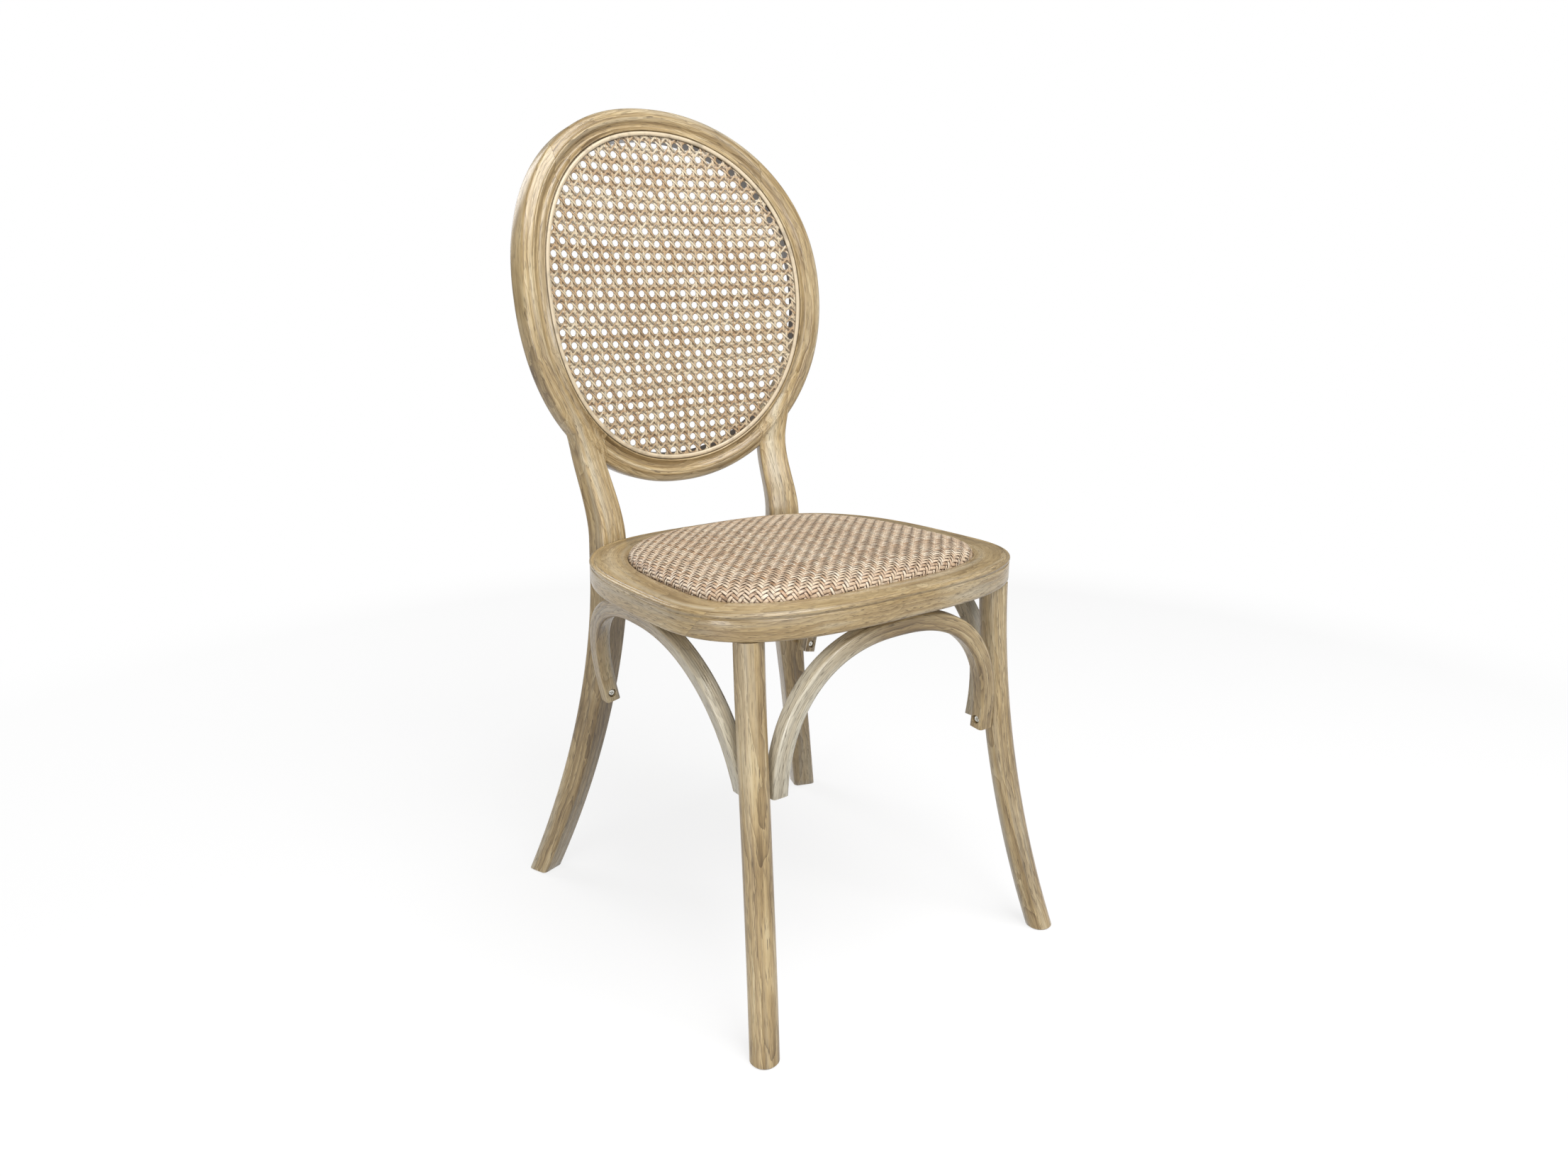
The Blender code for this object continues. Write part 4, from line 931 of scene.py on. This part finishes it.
# %% Posts of the rear legs
LEG_TURN = math.radians(20.0)
LEG_X, LEG_Y = 0.1354, 0.2640
FOOT_CHAMFER = 0.0020
POST_TOP = 0.620
POST_LEVELS = (0.0, 0.2, SEAT_UNDERSIDE, POST_TOP)
POST_WIDTHS = (0.0323, 0.0315, 0.0440, 0.0335)
POST_DEPTHS = (0.0300, 0.0350, 0.0300, 0.0225)
POST_CORNER = 0.0050
POST_SPLAY_X, POST_SPLAY_Y = 0.0852, 0.0696
POST_SPLAY_POWER_X, POST_SPLAY_POWER_Y = 1.63, 2.0
POST_FLARE, POST_LEAN, POST_LEAN_HEIGHT = 0.0215, 0.0325, 0.1100


def post_centre(height):
    """Sideways and back: splay is a power of the fall, then flare and lean above."""
    fall = np.clip(1.0 - height / SEAT_UNDERSIDE, 0.0, 1.0)
    rise = np.clip((height - SEAT_HEIGHT) / (POST_TOP - SEAT_HEIGHT), 0.0, 1.0)
    lean = np.clip((height - SEAT_HEIGHT) / POST_LEAN_HEIGHT, 0.0, 1.0)
    return (LEG_X + POST_SPLAY_X * fall ** POST_SPLAY_POWER_X + POST_FLARE * rise ** 3,
            LEG_Y + POST_SPLAY_Y * fall ** POST_SPLAY_POWER_Y
            + POST_LEAN * lean * lean * (3.0 - 2.0 * lean))


def round_rectangle(width, depth, corner, steps=6):
    """Outline with a quarter turn at each corner; width and depth may be columns."""
    quarter = np.repeat(np.arange(4), steps)
    within = np.tile(np.linspace(-45.0, 45.0, steps), 4)
    middle = np.radians(45.0 + 90.0 * quarter)
    angle = middle + np.radians(within)
    return (np.sign(np.cos(middle)) * (width / 2 - corner) + corner * np.cos(angle),
            np.sign(np.sin(middle)) * (depth / 2 - corner) + corner * np.sin(angle))


def post_mesh(name, side):
    """Level sections of the post, turned to face the seat's corner."""
    height = np.concatenate(((0.0, FOOT_CHAMFER), np.linspace(0.012, POST_TOP, 64)))
    chamfer = 2.0 * FOOT_CHAMFER * (height < FOOT_CHAMFER / 2)
    width = (np.interp(height, POST_LEVELS, POST_WIDTHS) - chamfer)[:, None]
    depth = (np.interp(height, POST_LEVELS, POST_DEPTHS) - chamfer)[:, None]
    across, back = round_rectangle(width, depth, POST_CORNER)
    centre_x, centre_y = post_centre(height[:, None])
    x = centre_x + across * math.cos(LEG_TURN) + back * math.sin(LEG_TURN)
    y = centre_y - across * math.sin(LEG_TURN) + back * math.cos(LEG_TURN)
    rings = np.stack(np.broadcast_arrays(side * x, y - SETBACK, height[:, None]), axis=-1)
    return sweep_mesh(name, rings)


foot_out, foot_back = post_centre(0.0)
print("foot of the post:", round(float(foot_out), 4), "m out,",
      round(float(foot_back), 4), "m back")

# %% Join post and oval side, then lay the grain
def combined(name, operation, first, *others):
    """The first closed mesh with the others joined on or cut out, as a new mesh."""
    holders = [bpy.data.objects.new(name + "_" + mesh.name, mesh)
               for mesh in (first, *others)]
    for holder in holders:
        bpy.context.scene.collection.objects.link(holder)
    for other in holders[1:]:
        step = holders[0].modifiers.new(other.name, "BOOLEAN")
        step.operation, step.solver, step.object = operation, "EXACT", other
    graph = bpy.context.evaluated_depsgraph_get()
    mesh = bpy.data.meshes.new_from_object(holders[0].evaluated_get(graph))
    for holder in holders:
        bpy.data.objects.remove(holder)
    mesh.name = name
    mesh.shade_smooth()
    mesh.set_sharp_from_angle(angle=SMOOTH_ANGLE)
    return mesh


def grain_along(points, line, sideways):
    """Across, depth and length of each point, from the nearest point of a line."""
    length, tangent = length_along(*line.T), np.gradient(line, axis=0)
    tangent /= np.linalg.norm(tangent, axis=1, keepdims=True)
    across = sideways - tangent * (sideways * tangent).sum(axis=1, keepdims=True)
    across /= np.linalg.norm(across, axis=1, keepdims=True)
    depth = np.cross(tangent, across)
    nearest = ((points[:, None] - line[None]) ** 2).sum(axis=2).argmin(axis=1)
    offset = points - line[nearest]
    return np.stack(((offset * across[nearest]).sum(axis=1),
                     (offset * depth[nearest]).sum(axis=1),
                     length[nearest] + (offset * tangent[nearest]).sum(axis=1)), axis=1)


def leg_line(side):
    """The post's centre, then the middle of the oval's band up to its top joint."""
    height = np.linspace(0.0, 0.600, 90)
    x, y = post_centre(height)
    post = np.stack((side * x, y - SETBACK, height), axis=1)
    theta = np.linspace(math.radians(-18.0), math.radians(46.0), 70)
    across, up = oval_point(theta, FRAME_WIDTH / 2)
    return np.concatenate((post, on_back(side * across, up, -FRAME_DEPTH / 2)))


def make_rear_leg(name, side):
    """Post and band in one; the left band is the right one with -x for x."""
    band = band_mesh(name + "_band", foot_clear, top_clear)
    if side < 0:
        band.vertices.foreach_set("co", (mesh_points(band) * (-1.0, 1.0, 1.0)).ravel())
        band.flip_normals()
    mesh = combined(name, "UNION", post_mesh(name + "_post", side), band)
    mesh.attributes.remove(mesh.attributes["grain"])
    set_vectors(mesh, "grain", grain_along(mesh_points(mesh), leg_line(side), SIDEWAYS))
    return add_piece(mesh, bent_oak, "limed_oak", name)


make_rear_leg("rear_leg_left", -1.0)
make_rear_leg("rear_leg_right", 1.0)

# %% [markdown]
# ## Front legs
# The front legs are round. They go straight down from the ring and bend outwards and
# forwards towards the foot, thinning a little on the way. Level rings on a bent centre
# line make them, with a small chamfer at the floor.

# %% Front legs
FRONT_LEG_X, FRONT_LEG_Y = 0.1730, -0.1005
FRONT_SPLAY_X, FRONT_SPLAY_Y = 0.0349, 0.0664
FRONT_BEND_POWER_X, FRONT_BEND_POWER_Y = 2.25, 1.85
FRONT_LEG_RADIUS, FRONT_FOOT_RADIUS = 0.0161, 0.0157


def make_front_leg(name, side):
    """Radius goes evenly from foot to top; the centre moves out as a power of the fall."""
    height = np.concatenate(((0.0, FOOT_CHAMFER),
                             np.linspace(0.010, SEAT_UNDERSIDE - JOINT_GAP, 60)))
    fall = np.clip(1.0 - height / SEAT_UNDERSIDE, 0.0, 1.0)[:, None]
    share = height / SEAT_UNDERSIDE
    radius = FRONT_FOOT_RADIUS + (FRONT_LEG_RADIUS - FRONT_FOOT_RADIUS) * share
    radius = (radius - FOOT_CHAMFER * (height < FOOT_CHAMFER / 2))[:, None]
    angle = np.linspace(0.0, 2.0 * np.pi, 48, endpoint=False)
    across, ahead = radius * np.cos(angle), radius * np.sin(angle)
    x = side * (FRONT_LEG_X + FRONT_SPLAY_X * fall ** FRONT_BEND_POWER_X) + across
    y = FRONT_LEG_Y - FRONT_SPLAY_Y * fall ** FRONT_BEND_POWER_Y + ahead - SETBACK
    rings = np.stack(np.broadcast_arrays(x, y, height[:, None]), axis=-1)
    grain = np.stack(np.broadcast_arrays(across, ahead, height[:, None] + side), axis=-1)
    return add_piece(sweep_mesh(name, rings, grain), bent_oak, "limed_oak", name)


make_front_leg("front_leg_left", -1.0)
make_front_leg("front_leg_right", 1.0)

# %% [markdown]
# ## Cane for the back
# The back is open cane. Two strands side by side run up between the columns of holes, two
# run across between the rows, and single strands cross on both slants midway between the
# corners, which leaves eight-sided holes. Uprights and crossings go over and under each
# other. One slant passes over the uprights and under the crossings, and the other slant
# does the reverse, so every strand's height is a wave along its length.

# %% The four sets of cane strands
CANE_PITCH = 0.0153
PAIR_OFFSET = 0.00184
CANE_HALF_WIDTH, SLANT_HALF_WIDTH = 0.00182, 0.00150
CANE_HALF_THICKNESS = 0.00030
CANE_LEVEL = -0.00078
PAIR_WAVE, SLANT_WAVE = 0.00024, 0.00052
CANE_EDGE, CANE_DRIFT = 0.0058, 0.00013
CANE_SAMPLES, FEWEST_CANE_SAMPLES = 10, 30
CANE_RUN = np.linspace(-0.42, 0.42, 3400)


def inside_oval(across, up, grown):
    """Whether (|across|/half width)^p + (|height|/reach)^p is under 1."""
    reach, power = oval_half(up >= OVAL_LEVEL, grown)
    return ((np.abs(across) / (OVAL_HALF_WIDTH + grown)) ** power
            + (np.abs(up - OVAL_LEVEL) / reach) ** power) < 1.0


def cane_strand(start, direction, height, half_width):
    """A straight strand cut at the oval, or None where it misses."""
    kept = CANE_RUN[inside_oval(start[0] + CANE_RUN * direction[0],
                                start[1] + CANE_RUN * direction[1], CANE_EDGE)]
    wobble, own = random.random(2)
    if len(kept) < FEWEST_CANE_SAMPLES:
        return None
    count = max(5, int((kept[-1] - kept[0]) / CANE_PITCH * CANE_SAMPLES))
    run = np.linspace(kept[0], kept[-1], count)
    sideways = np.array((-direction[1], direction[0], 0.0))
    drift = CANE_DRIFT * np.sin(run * (45.0 + 30.0 * wobble) + 50.0 * own)
    across = start[0] + run * direction[0] + drift * sideways[0]
    up = start[1] + run * direction[1] + drift * sideways[1]
    path = np.stack((across, up, CANE_LEVEL + height(across, up - OVAL_LEVEL)), axis=1)
    return path, sideways, half_width, CANE_HALF_THICKNESS, own


def upright_height(which):
    """Over one strand of each crossing pair and under the other, turned about by which."""
    return lambda across, up: which * PAIR_WAVE * np.sin(2.0 * np.pi * up / CANE_PITCH)


def crossing_height(which):
    """Over one strand of each upright pair and under the other, turned about by which."""
    return lambda across, up: which * PAIR_WAVE * np.sin(2.0 * np.pi * across / CANE_PITCH)


def slant_height(which):
    """Up at the uprights, which stand at half pitches, and down at the crossings."""
    return lambda across, up: -which * SLANT_WAVE * np.cos(
        2.0 * np.pi * across / CANE_PITCH)


def cane_set(name, lines):
    """Show one set of strands as a piece, without those that miss the oval."""
    strands = [made for made in (cane_strand(*line) for line in lines) if made]
    mesh = weave_mesh(name, strands, on_back)
    print(name, "has", len(strands), "strands")
    return add_piece(mesh, cane, "natural_cane", "back_cane_panel")


columns = (np.arange(-14, 15) + 0.5) * CANE_PITCH
cane_set("back_cane_uprights", [
    ((x + which * PAIR_OFFSET, OVAL_LEVEL), (0.0, 1.0), upright_height(which),
     CANE_HALF_WIDTH) for x in columns for which in (-1.0, 1.0)])
cane_set("back_cane_crossings", [
    ((0.0, OVAL_LEVEL + y + which * PAIR_OFFSET), (1.0, 0.0), crossing_height(which),
     CANE_HALF_WIDTH) for y in columns for which in (-1.0, 1.0)])
SLANT = math.sqrt(0.5)
slants = (np.arange(-28, 29) + 0.5) * CANE_PITCH
cane_set("back_cane_slants_down", [
    ((x / 2, OVAL_LEVEL + x / 2), (SLANT, -SLANT), slant_height(1.0), SLANT_HALF_WIDTH)
    for x in slants])
cane_set("back_cane_slants_up", [
    ((x / 2, OVAL_LEVEL - x / 2), (SLANT, SLANT), slant_height(-1.0), SLANT_HALF_WIDTH)
    for x in slants])

# %% [markdown]
# ## The reed
# A half-round reed is pressed into the rebate over the ends of the cane. It is a closed
# sweep, a half circle carried all the way round the oval.

# %% Reed
REED_WIDTH, REED_HEIGHT, REED_SEAT = 0.0056, 0.0021, 0.0003
REED_FOOT, REED_UNDERSIDE = (0.0009, 0.0057), (-0.0001, -0.0001)


def make_reed():
    """Half an ellipse, rounded where it meets the cane, swept round the oval."""
    theta = np.linspace(0.0, 2.0 * np.pi, 260, endpoint=False)[:, None]
    turn = np.linspace(0.0, np.pi, 13)
    out = np.append(REBATE / 2 + REED_WIDTH / 2 * np.cos(turn), REED_FOOT)
    proud = np.append(REED_SEAT + REED_HEIGHT * np.sin(turn), REED_UNDERSIDE)
    across, up = oval_point(theta, out)
    rings = on_back(across, up, proud)
    across_share = (out - REBATE / 2) / (REED_WIDTH / 2) * 0.8
    value = np.stack(np.broadcast_arrays(theta * 0.2, across_share, 0.45), axis=-1)
    mesh = sweep_mesh("back_cane_reed", rings, closed=True)
    set_vectors(mesh, "strand", value)
    set_shares(mesh, "lift", np.ones(len(mesh.vertices)))
    return mesh


add_piece(make_reed(), cane, "natural_cane", "back_cane_reed")

# %% [markdown]
# ## Brackets
# Three bent brackets stiffen the chair, one in front and one at each side. Each is an arch
# in its own leaning plane, with a nearly square section whose faces have shallow flutes
# along them. The path is half of a squared oval. Screws go through the foot of each limb
# and the crown, so a mouth for each head is cut there with a boolean. The front limb of
# each side bracket and the left limb of the front one carry the share called limed, which
# lays the grey bloom on heavily and also stands in as painted highlight on those limbs.

# %% Frames of the three arches
BRACKET_END = 0.2600
BRACKET_THICKNESS, BRACKET_WIDTH = 0.0210, 0.0190
BRACKET_POWER = 2.4
BRACKET_CORNER = 0.0042
END_SCREW_RISE, FRONT_SCREW_RISE = 0.0110, 0.0220
# Middle, way along, way out, lean in degrees, half span, rise, height of end screw 1.
ARCHES = {
    "bracket_front": ((0.0, -0.1111), (1.0, 0.0, 0.0), (0.0, -1.0, 0.0), 6.0,
                      0.1495, 0.1597, END_SCREW_RISE),
    "bracket_right": ((0.1628, 0.0774), (-0.0431, 0.9991, 0.0), (1.0, 0.0, 0.0), 12.0,
                      0.1603, 0.1616, FRONT_SCREW_RISE),
    "bracket_left": ((-0.1628, 0.0774), (0.0431, 0.9991, 0.0), (-1.0, 0.0, 0.0), 12.0,
                     0.1603, 0.1616, FRONT_SCREW_RISE),
}


class Arch:
    """Along, up and out directions of an arch, and a place drawn flat in its plane."""

    def __init__(self, middle, along, level, lean, half, rise, start_rise):
        self.middle = np.array((middle[0], middle[1] - SETBACK, BRACKET_END))
        self.along = np.array(along) / np.linalg.norm(along)
        level = np.array(level)
        level = level - level.dot(self.along) * self.along
        level /= np.linalg.norm(level)
        tilt = math.radians(lean)
        self.up = np.array((0.0, 0.0, math.cos(tilt))) + level * math.sin(tilt)
        self.out = np.cross(self.along, self.up)
        self.half, self.rise, self.start_rise = half, rise, start_rise

    def place(self, across, up, out=0.0):
        """The middle plus a length along each of the three directions."""
        across, up, out = np.broadcast_arrays(across, up, out)
        return (self.middle + across[..., None] * self.along + up[..., None] * self.up
                + out[..., None] * self.out)

    def screws(self):
        """Start and direction of the three screws, on the inner face of the bracket."""
        inner = BRACKET_THICKNESS / 2
        return ((self.place(-self.half + inner, self.start_rise), -self.along),
                (self.place(self.half - inner, END_SCREW_RISE), self.along),
                (self.place(0.0, self.rise - inner), self.up))


arches = {name: Arch(*facts) for name, facts in ARCHES.items()}
for name, arch in arches.items():
    print(name, "spans", 2 * arch.half, "m and rises", arch.rise, "m")

# %% Sweep the brackets and cut their screw holes
FLUTE_DEPTH, FLUTES_PER_FACE = 0.00022, 4
FLUTED_WIDTH, FLUTE_FADE = 0.0105, 0.0002
COUNTERBORE_RADIUS, COUNTERBORE_DEPTH, COUNTERBORE_OVERRUN = 0.0053, 0.0050, 0.0040
HOLE_SIDES = 32
LIME_AND_HIGHLIGHT_START, LIME_AND_HIGHLIGHT_FADE = 0.15, 0.60
GRAIN_SHIFT = 9.0


def bracket_path(arch, rows=130):
    """Half of a squared oval and its outward normal, evenly stepped along its length."""
    angle = np.linspace(np.pi, 0.0, 1200)
    size = (np.abs(np.cos(angle)) ** BRACKET_POWER
            + np.abs(np.sin(angle)) ** BRACKET_POWER) ** (-1.0 / BRACKET_POWER)
    across, up = arch.half * size * np.cos(angle), arch.rise * size * np.sin(angle)
    length = length_along(across, up)
    even = np.linspace(0.0, length[-1], rows)
    across, up = np.interp(even, length, across), np.interp(even, length, up)
    run, climb = np.gradient(across), np.gradient(up)
    run[0] = run[-1] = 0.0
    steep = np.hypot(run, climb)
    return across, up, -climb / steep, run / steep


def fluted_section():
    """A round-cornered square; on its flat faces the flutes are a raised cosine, cubed."""
    a, b = round_rectangle(BRACKET_THICKNESS, BRACKET_WIDTH, BRACKET_CORNER)
    a, b = np.append(a, a[0]), np.append(b, b[0])
    length = length_along(a, b)
    even = np.linspace(0.0, length[-1], 112, endpoint=False)
    a, b = np.interp(even, length, a), np.interp(even, length, b)
    for one, other, half in ((a, b, BRACKET_THICKNESS / 2), (b, a, BRACKET_WIDTH / 2)):
        flat = np.clip((np.abs(one) - half + FLUTE_FADE) / FLUTE_FADE, 0.0, 1.0)
        phase = 2.0 * np.pi * other * FLUTES_PER_FACE / FLUTED_WIDTH
        flute = (0.5 + 0.5 * np.cos(phase)) ** 3
        one -= np.sign(one) * FLUTE_DEPTH * flute * flat
    return a, b


def mouth_mesh(name, start, direction):
    """A round plug from just outside the face to the mouth's depth, to be cut away."""
    side, other = square_to(direction, (0.3, 0.5, 0.8))
    turn = np.linspace(0.0, 2.0 * np.pi, HOLE_SIDES, endpoint=False)[None, :, None]
    reach = np.array((-COUNTERBORE_OVERRUN, COUNTERBORE_DEPTH))[:, None, None]
    circle = COUNTERBORE_RADIUS * (np.cos(turn) * side + np.sin(turn) * other)
    return sweep_mesh(name, start + reach * direction + circle)


def make_bracket(name, arch):
    """The fluted section carried along the path, with the mouths of the holes cut out."""
    across, up, out_across, out_up = (part[:, None] for part in bracket_path(arch))
    a, b = fluted_section()
    rings = arch.place(across + out_across * a, up + out_up * a, b)
    mesh = combined(name, "DIFFERENCE", sweep_mesh(name, rings),
                    *(mouth_mesh(name + "_mouth_" + str(number), start, direction)
                      for number, (start, direction) in enumerate(arch.screws())))
    points = mesh_points(mesh)
    grain = grain_along(points, arch.place(across[:, 0], up[:, 0]), arch.out)
    grain[:, 2] += arch.middle[0] * GRAIN_SHIFT
    set_vectors(mesh, "grain", grain)
    # One limb of each bracket takes heavy lime bloom, which also stands in as painted
    # highlight.
    reach = (points - arch.middle) @ arch.along / arch.half
    set_shares(mesh, "limed", np.clip((-LIME_AND_HIGHLIGHT_START - reach) / LIME_AND_HIGHLIGHT_FADE, 0.0, 1.0))
    return add_piece(mesh, bent_oak, "limed_oak", name)


for name, arch in arches.items():
    make_bracket(name, arch)

# %% [markdown]
# ## Screws
# The screws of the brackets are pan-headed with a cross recess. A turned shape is a profile
# carried round an axis. The recess is pressed into it as a smooth dip wherever a point of
# the head lies inside the cross.

# %% Screws
SCREW_RADIUS, HEAD_RADIUS, HEAD_HEIGHT = 0.0020, 0.0042, 0.0025
SCREW_LENGTH = 0.0260
HEAD_SOFTNESS = 0.45 * HEAD_HEIGHT
CROSS_DEPTH = 0.0014
CROSS_HALF_WIDTH, CROSS_REACH = 0.00045, 0.0022
CROSS_WALL, CROSS_END = 0.00010, 0.00015
AXIS_GAP = 0.0001
SCREW_NAMES = ("_end_screw_1", "_end_screw_2", "_crown_screw")


def cross_dip(x, y):
    """1 / (1 + e^(thin side past the arm's width) + e^(long side past its reach))."""
    thin = np.minimum(np.abs(x), np.abs(y))
    long = np.maximum(np.abs(x), np.abs(y))
    return 1.0 / (1.0 + np.exp((thin - CROSS_HALF_WIDTH) / CROSS_WALL)
                  + np.exp((long - CROSS_REACH) / CROSS_END))


def screw_profile():
    """Columns out and up, from the head's middle over its soft edge to the tip."""
    corner = np.radians(np.linspace(90.0, 0.0, 7))
    face = np.linspace(AXIS_GAP, HEAD_RADIUS - HEAD_SOFTNESS, 26)
    return np.concatenate((
        np.stack((face, np.full(26, HEAD_HEIGHT)), axis=1),
        np.stack((HEAD_RADIUS + HEAD_SOFTNESS * (np.cos(corner) - 1.0),
                  HEAD_HEIGHT + HEAD_SOFTNESS * (np.sin(corner) - 1.0)), axis=1),
        ((HEAD_RADIUS, 0.0), (SCREW_RADIUS, 0.0),
         (SCREW_RADIUS, SCREW_RADIUS * 1.5 - SCREW_LENGTH), (AXIS_GAP, -SCREW_LENGTH))))


def screw_mesh(name, seat, direction):
    """The profile turned about the screw's line, with the cross pressed into its head."""
    profile = screw_profile()
    turn = np.linspace(0.0, 2.0 * np.pi, 64, endpoint=False)
    out, level = profile[:, :1], profile[:, 1:]
    x, y = out * np.cos(turn), out * np.sin(turn)
    top = np.clip(level / HEAD_HEIGHT * 4.0 - 3.0, 0.0, 1.0)
    level = level - CROSS_DEPTH * cross_dip(x, y) * top
    back = -np.asarray(direction)
    side, other = square_to(back, (0.31, 0.52, 0.79))
    return sweep_mesh(name, seat + x[..., None] * side + y[..., None] * other
                      + level[..., None] * back)


for name, arch in arches.items():
    for suffix, (start, direction) in zip(SCREW_NAMES, arch.screws()):
        seat = start + direction * (COUNTERBORE_DEPTH - JOINT_GAP)
        add_piece(screw_mesh(name + suffix, seat, direction), zinc, "zinc_steel",
                  name + suffix)

# %% [markdown]
# ## Solids that keep their shape
# The board, the corner blocks, the dowels, the seat's screws and the rear bolts have the
# right shape already, so they only get their finishes.

# %% Finishes for the frame's own solids
KEPT_FINISHES = (("seat_board", plywood), ("corner_block", sawn_oak),
                 ("top_dowel", sawn_oak), ("bottom_dowel", sawn_oak),
                 ("seat_screw", zinc), ("rear_leg_bolt", zinc))
for node_name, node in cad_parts.items():
    for start, material in KEPT_FINISHES:
        if node_name.startswith(start):
            node.data.materials.clear()
            node.data.materials.append(material)
            print("finished", node_name)

# %% [markdown]
# ## Floor and light
# The photograph has a white ground. The floor is a wide pale sheet that takes a soft shadow
# near the chair, and further out it fades to plain white for the camera, so no horizon
# shows. It throws little light back up, so the chair's undersides stay dark. The light is
# soft: a weak even world, a large lamp high in front, small lamps low in front, at the
# left and at the right, and one behind that lights the back of the chair.

# %% Floor
FLOOR_RADIUS, FLOOR_SIDES = 9.0, 96
GLOW_START, GLOW_END = 0.75, 1.9
FLOOR_GLOW_SHARE = 0.80
FLOOR_BOUNCE = (0.20, 0.19, 0.18, 1.0)
WHITE = (1.0, 1.0, 1.0, 1.0)


def make_floor():
    """Rings round the chair, from close by to far out, all at floor height."""
    turn = np.linspace(0.0, 2.0 * np.pi, FLOOR_SIDES, endpoint=False)
    reach = np.concatenate(((0.01,), np.linspace(0.3, 3.0, 10), (FLOOR_RADIUS,)))[:, None]
    rings = np.stack(np.broadcast_arrays(reach * np.cos(turn), reach * np.sin(turn), 0.0),
                     axis=-1)
    faces = grid_faces(*rings.shape[:2]).tolist() + [list(range(FLOOR_SIDES))[::-1]]
    mesh = bpy.data.meshes.new("floor")
    mesh.from_pydata(rings.reshape(-1, 3).tolist(), [], faces)
    return mesh


def make_floor_finish():
    """Pale near the chair, plain white for the camera further out, dim for the light."""
    finish = Finish("floor_white")
    place = finish.own_place()
    distance = finish.add("VectorMath", {0: place}, 1, operation="LENGTH")
    path = finish.add("LightPath")
    seen = finish.math("MAXIMUM", path, finish.math(
        "MAXIMUM", path.node.outputs["Is Glossy Ray"],
        path.node.outputs["Is Transmission Ray"]))
    far = finish.add("MapRange", {0: distance, 1: GLOW_START, 2: GLOW_END},
                     interpolation_type="SMOOTHSTEP")
    speckle = finish.noise(place, (240.0, 240.0, 240.0))
    pale = finish.ramp(speckle, ((0.0, (0.94, 0.94, 0.94, 1.0)),
                                 (1.0, (0.97, 0.97, 0.97, 1.0))))
    shown = finish.mix(seen, FLOOR_BOUNCE, pale)
    finish.surface(Base_Color=shown, Roughness=0.9, Specular_IOR_Level=0.0)
    glow = finish.add("Emission", {"Color": WHITE, "Strength": 1.0})
    share = finish.math("MAXIMUM", far, FLOOR_GLOW_SHARE)
    blend = finish.add("MixShader", {0: finish.math("MULTIPLY", share, seen),
                                     1: finish.shader.outputs[0], 2: glow})
    finish.join(finish.nodes["Material Output"], {"Surface": blend})
    return finish.material


floor = bpy.data.objects.new("floor", make_floor())
floor.data.materials.append(make_floor_finish())
bpy.context.scene.collection.objects.link(floor)
print("floor:", len(floor.data.polygons), "faces")

# %% Light
WORLD_LIGHT = 0.155
LAMP_TARGET = Vector((0.0, 0.0, 0.45))
# Name, place, side of the square and watts.
LAMPS = (
    ("top_lamp", (0.1, -1.5, 3.1), 2.2, 104.0),
    ("front_lamp", (-0.5, -2.1, 1.0), 0.9, 11.0),
    ("left_lamp", (-2.0, -0.9, 0.45), 0.8, 16.0),
    ("right_lamp", (2.1, -1.3, 1.3), 1.0, 4.0),
    ("back_lamp", (-0.9, 2.4, 1.9), 1.4, 26.0),
)


def make_world():
    """A weak even white for the light, and plain white where the camera sees past."""
    world = bpy.data.worlds.new("studio")
    world.use_nodes = True
    nodes, links = world.node_tree.nodes, world.node_tree.links
    even, plain = nodes["Background"], nodes.new("ShaderNodeBackground")
    for background, strength in ((even, WORLD_LIGHT), (plain, 1.0)):
        background.inputs[0].default_value = WHITE
        background.inputs[1].default_value = strength
    path = nodes.new("ShaderNodeLightPath")
    either = nodes.new("ShaderNodeMath")
    either.operation = "MAXIMUM"
    links.new(path.outputs["Is Camera Ray"], either.inputs[0])
    links.new(path.outputs["Is Transmission Ray"], either.inputs[1])
    choose = nodes.new("ShaderNodeMixShader")
    links.new(either.outputs[0], choose.inputs[0])
    links.new(even.outputs[0], choose.inputs[1])
    links.new(plain.outputs[0], choose.inputs[2])
    links.new(choose.outputs[0], nodes["World Output"].inputs[0])
    return world


def add_lamp(name, place, size, power):
    """A square lamp that faces the middle of the chair."""
    light = bpy.data.lights.new(name, "AREA")
    light.size, light.energy = size, power
    lamp = bpy.data.objects.new(name, light)
    lamp.location = place
    towards = LAMP_TARGET - Vector(place)
    lamp.rotation_euler = towards.to_track_quat("-Z", "Y").to_euler()
    bpy.context.scene.collection.objects.link(lamp)


bpy.context.scene.world = make_world()
for facts in LAMPS:
    add_lamp(*facts)
print("lamps:", len(LAMPS))
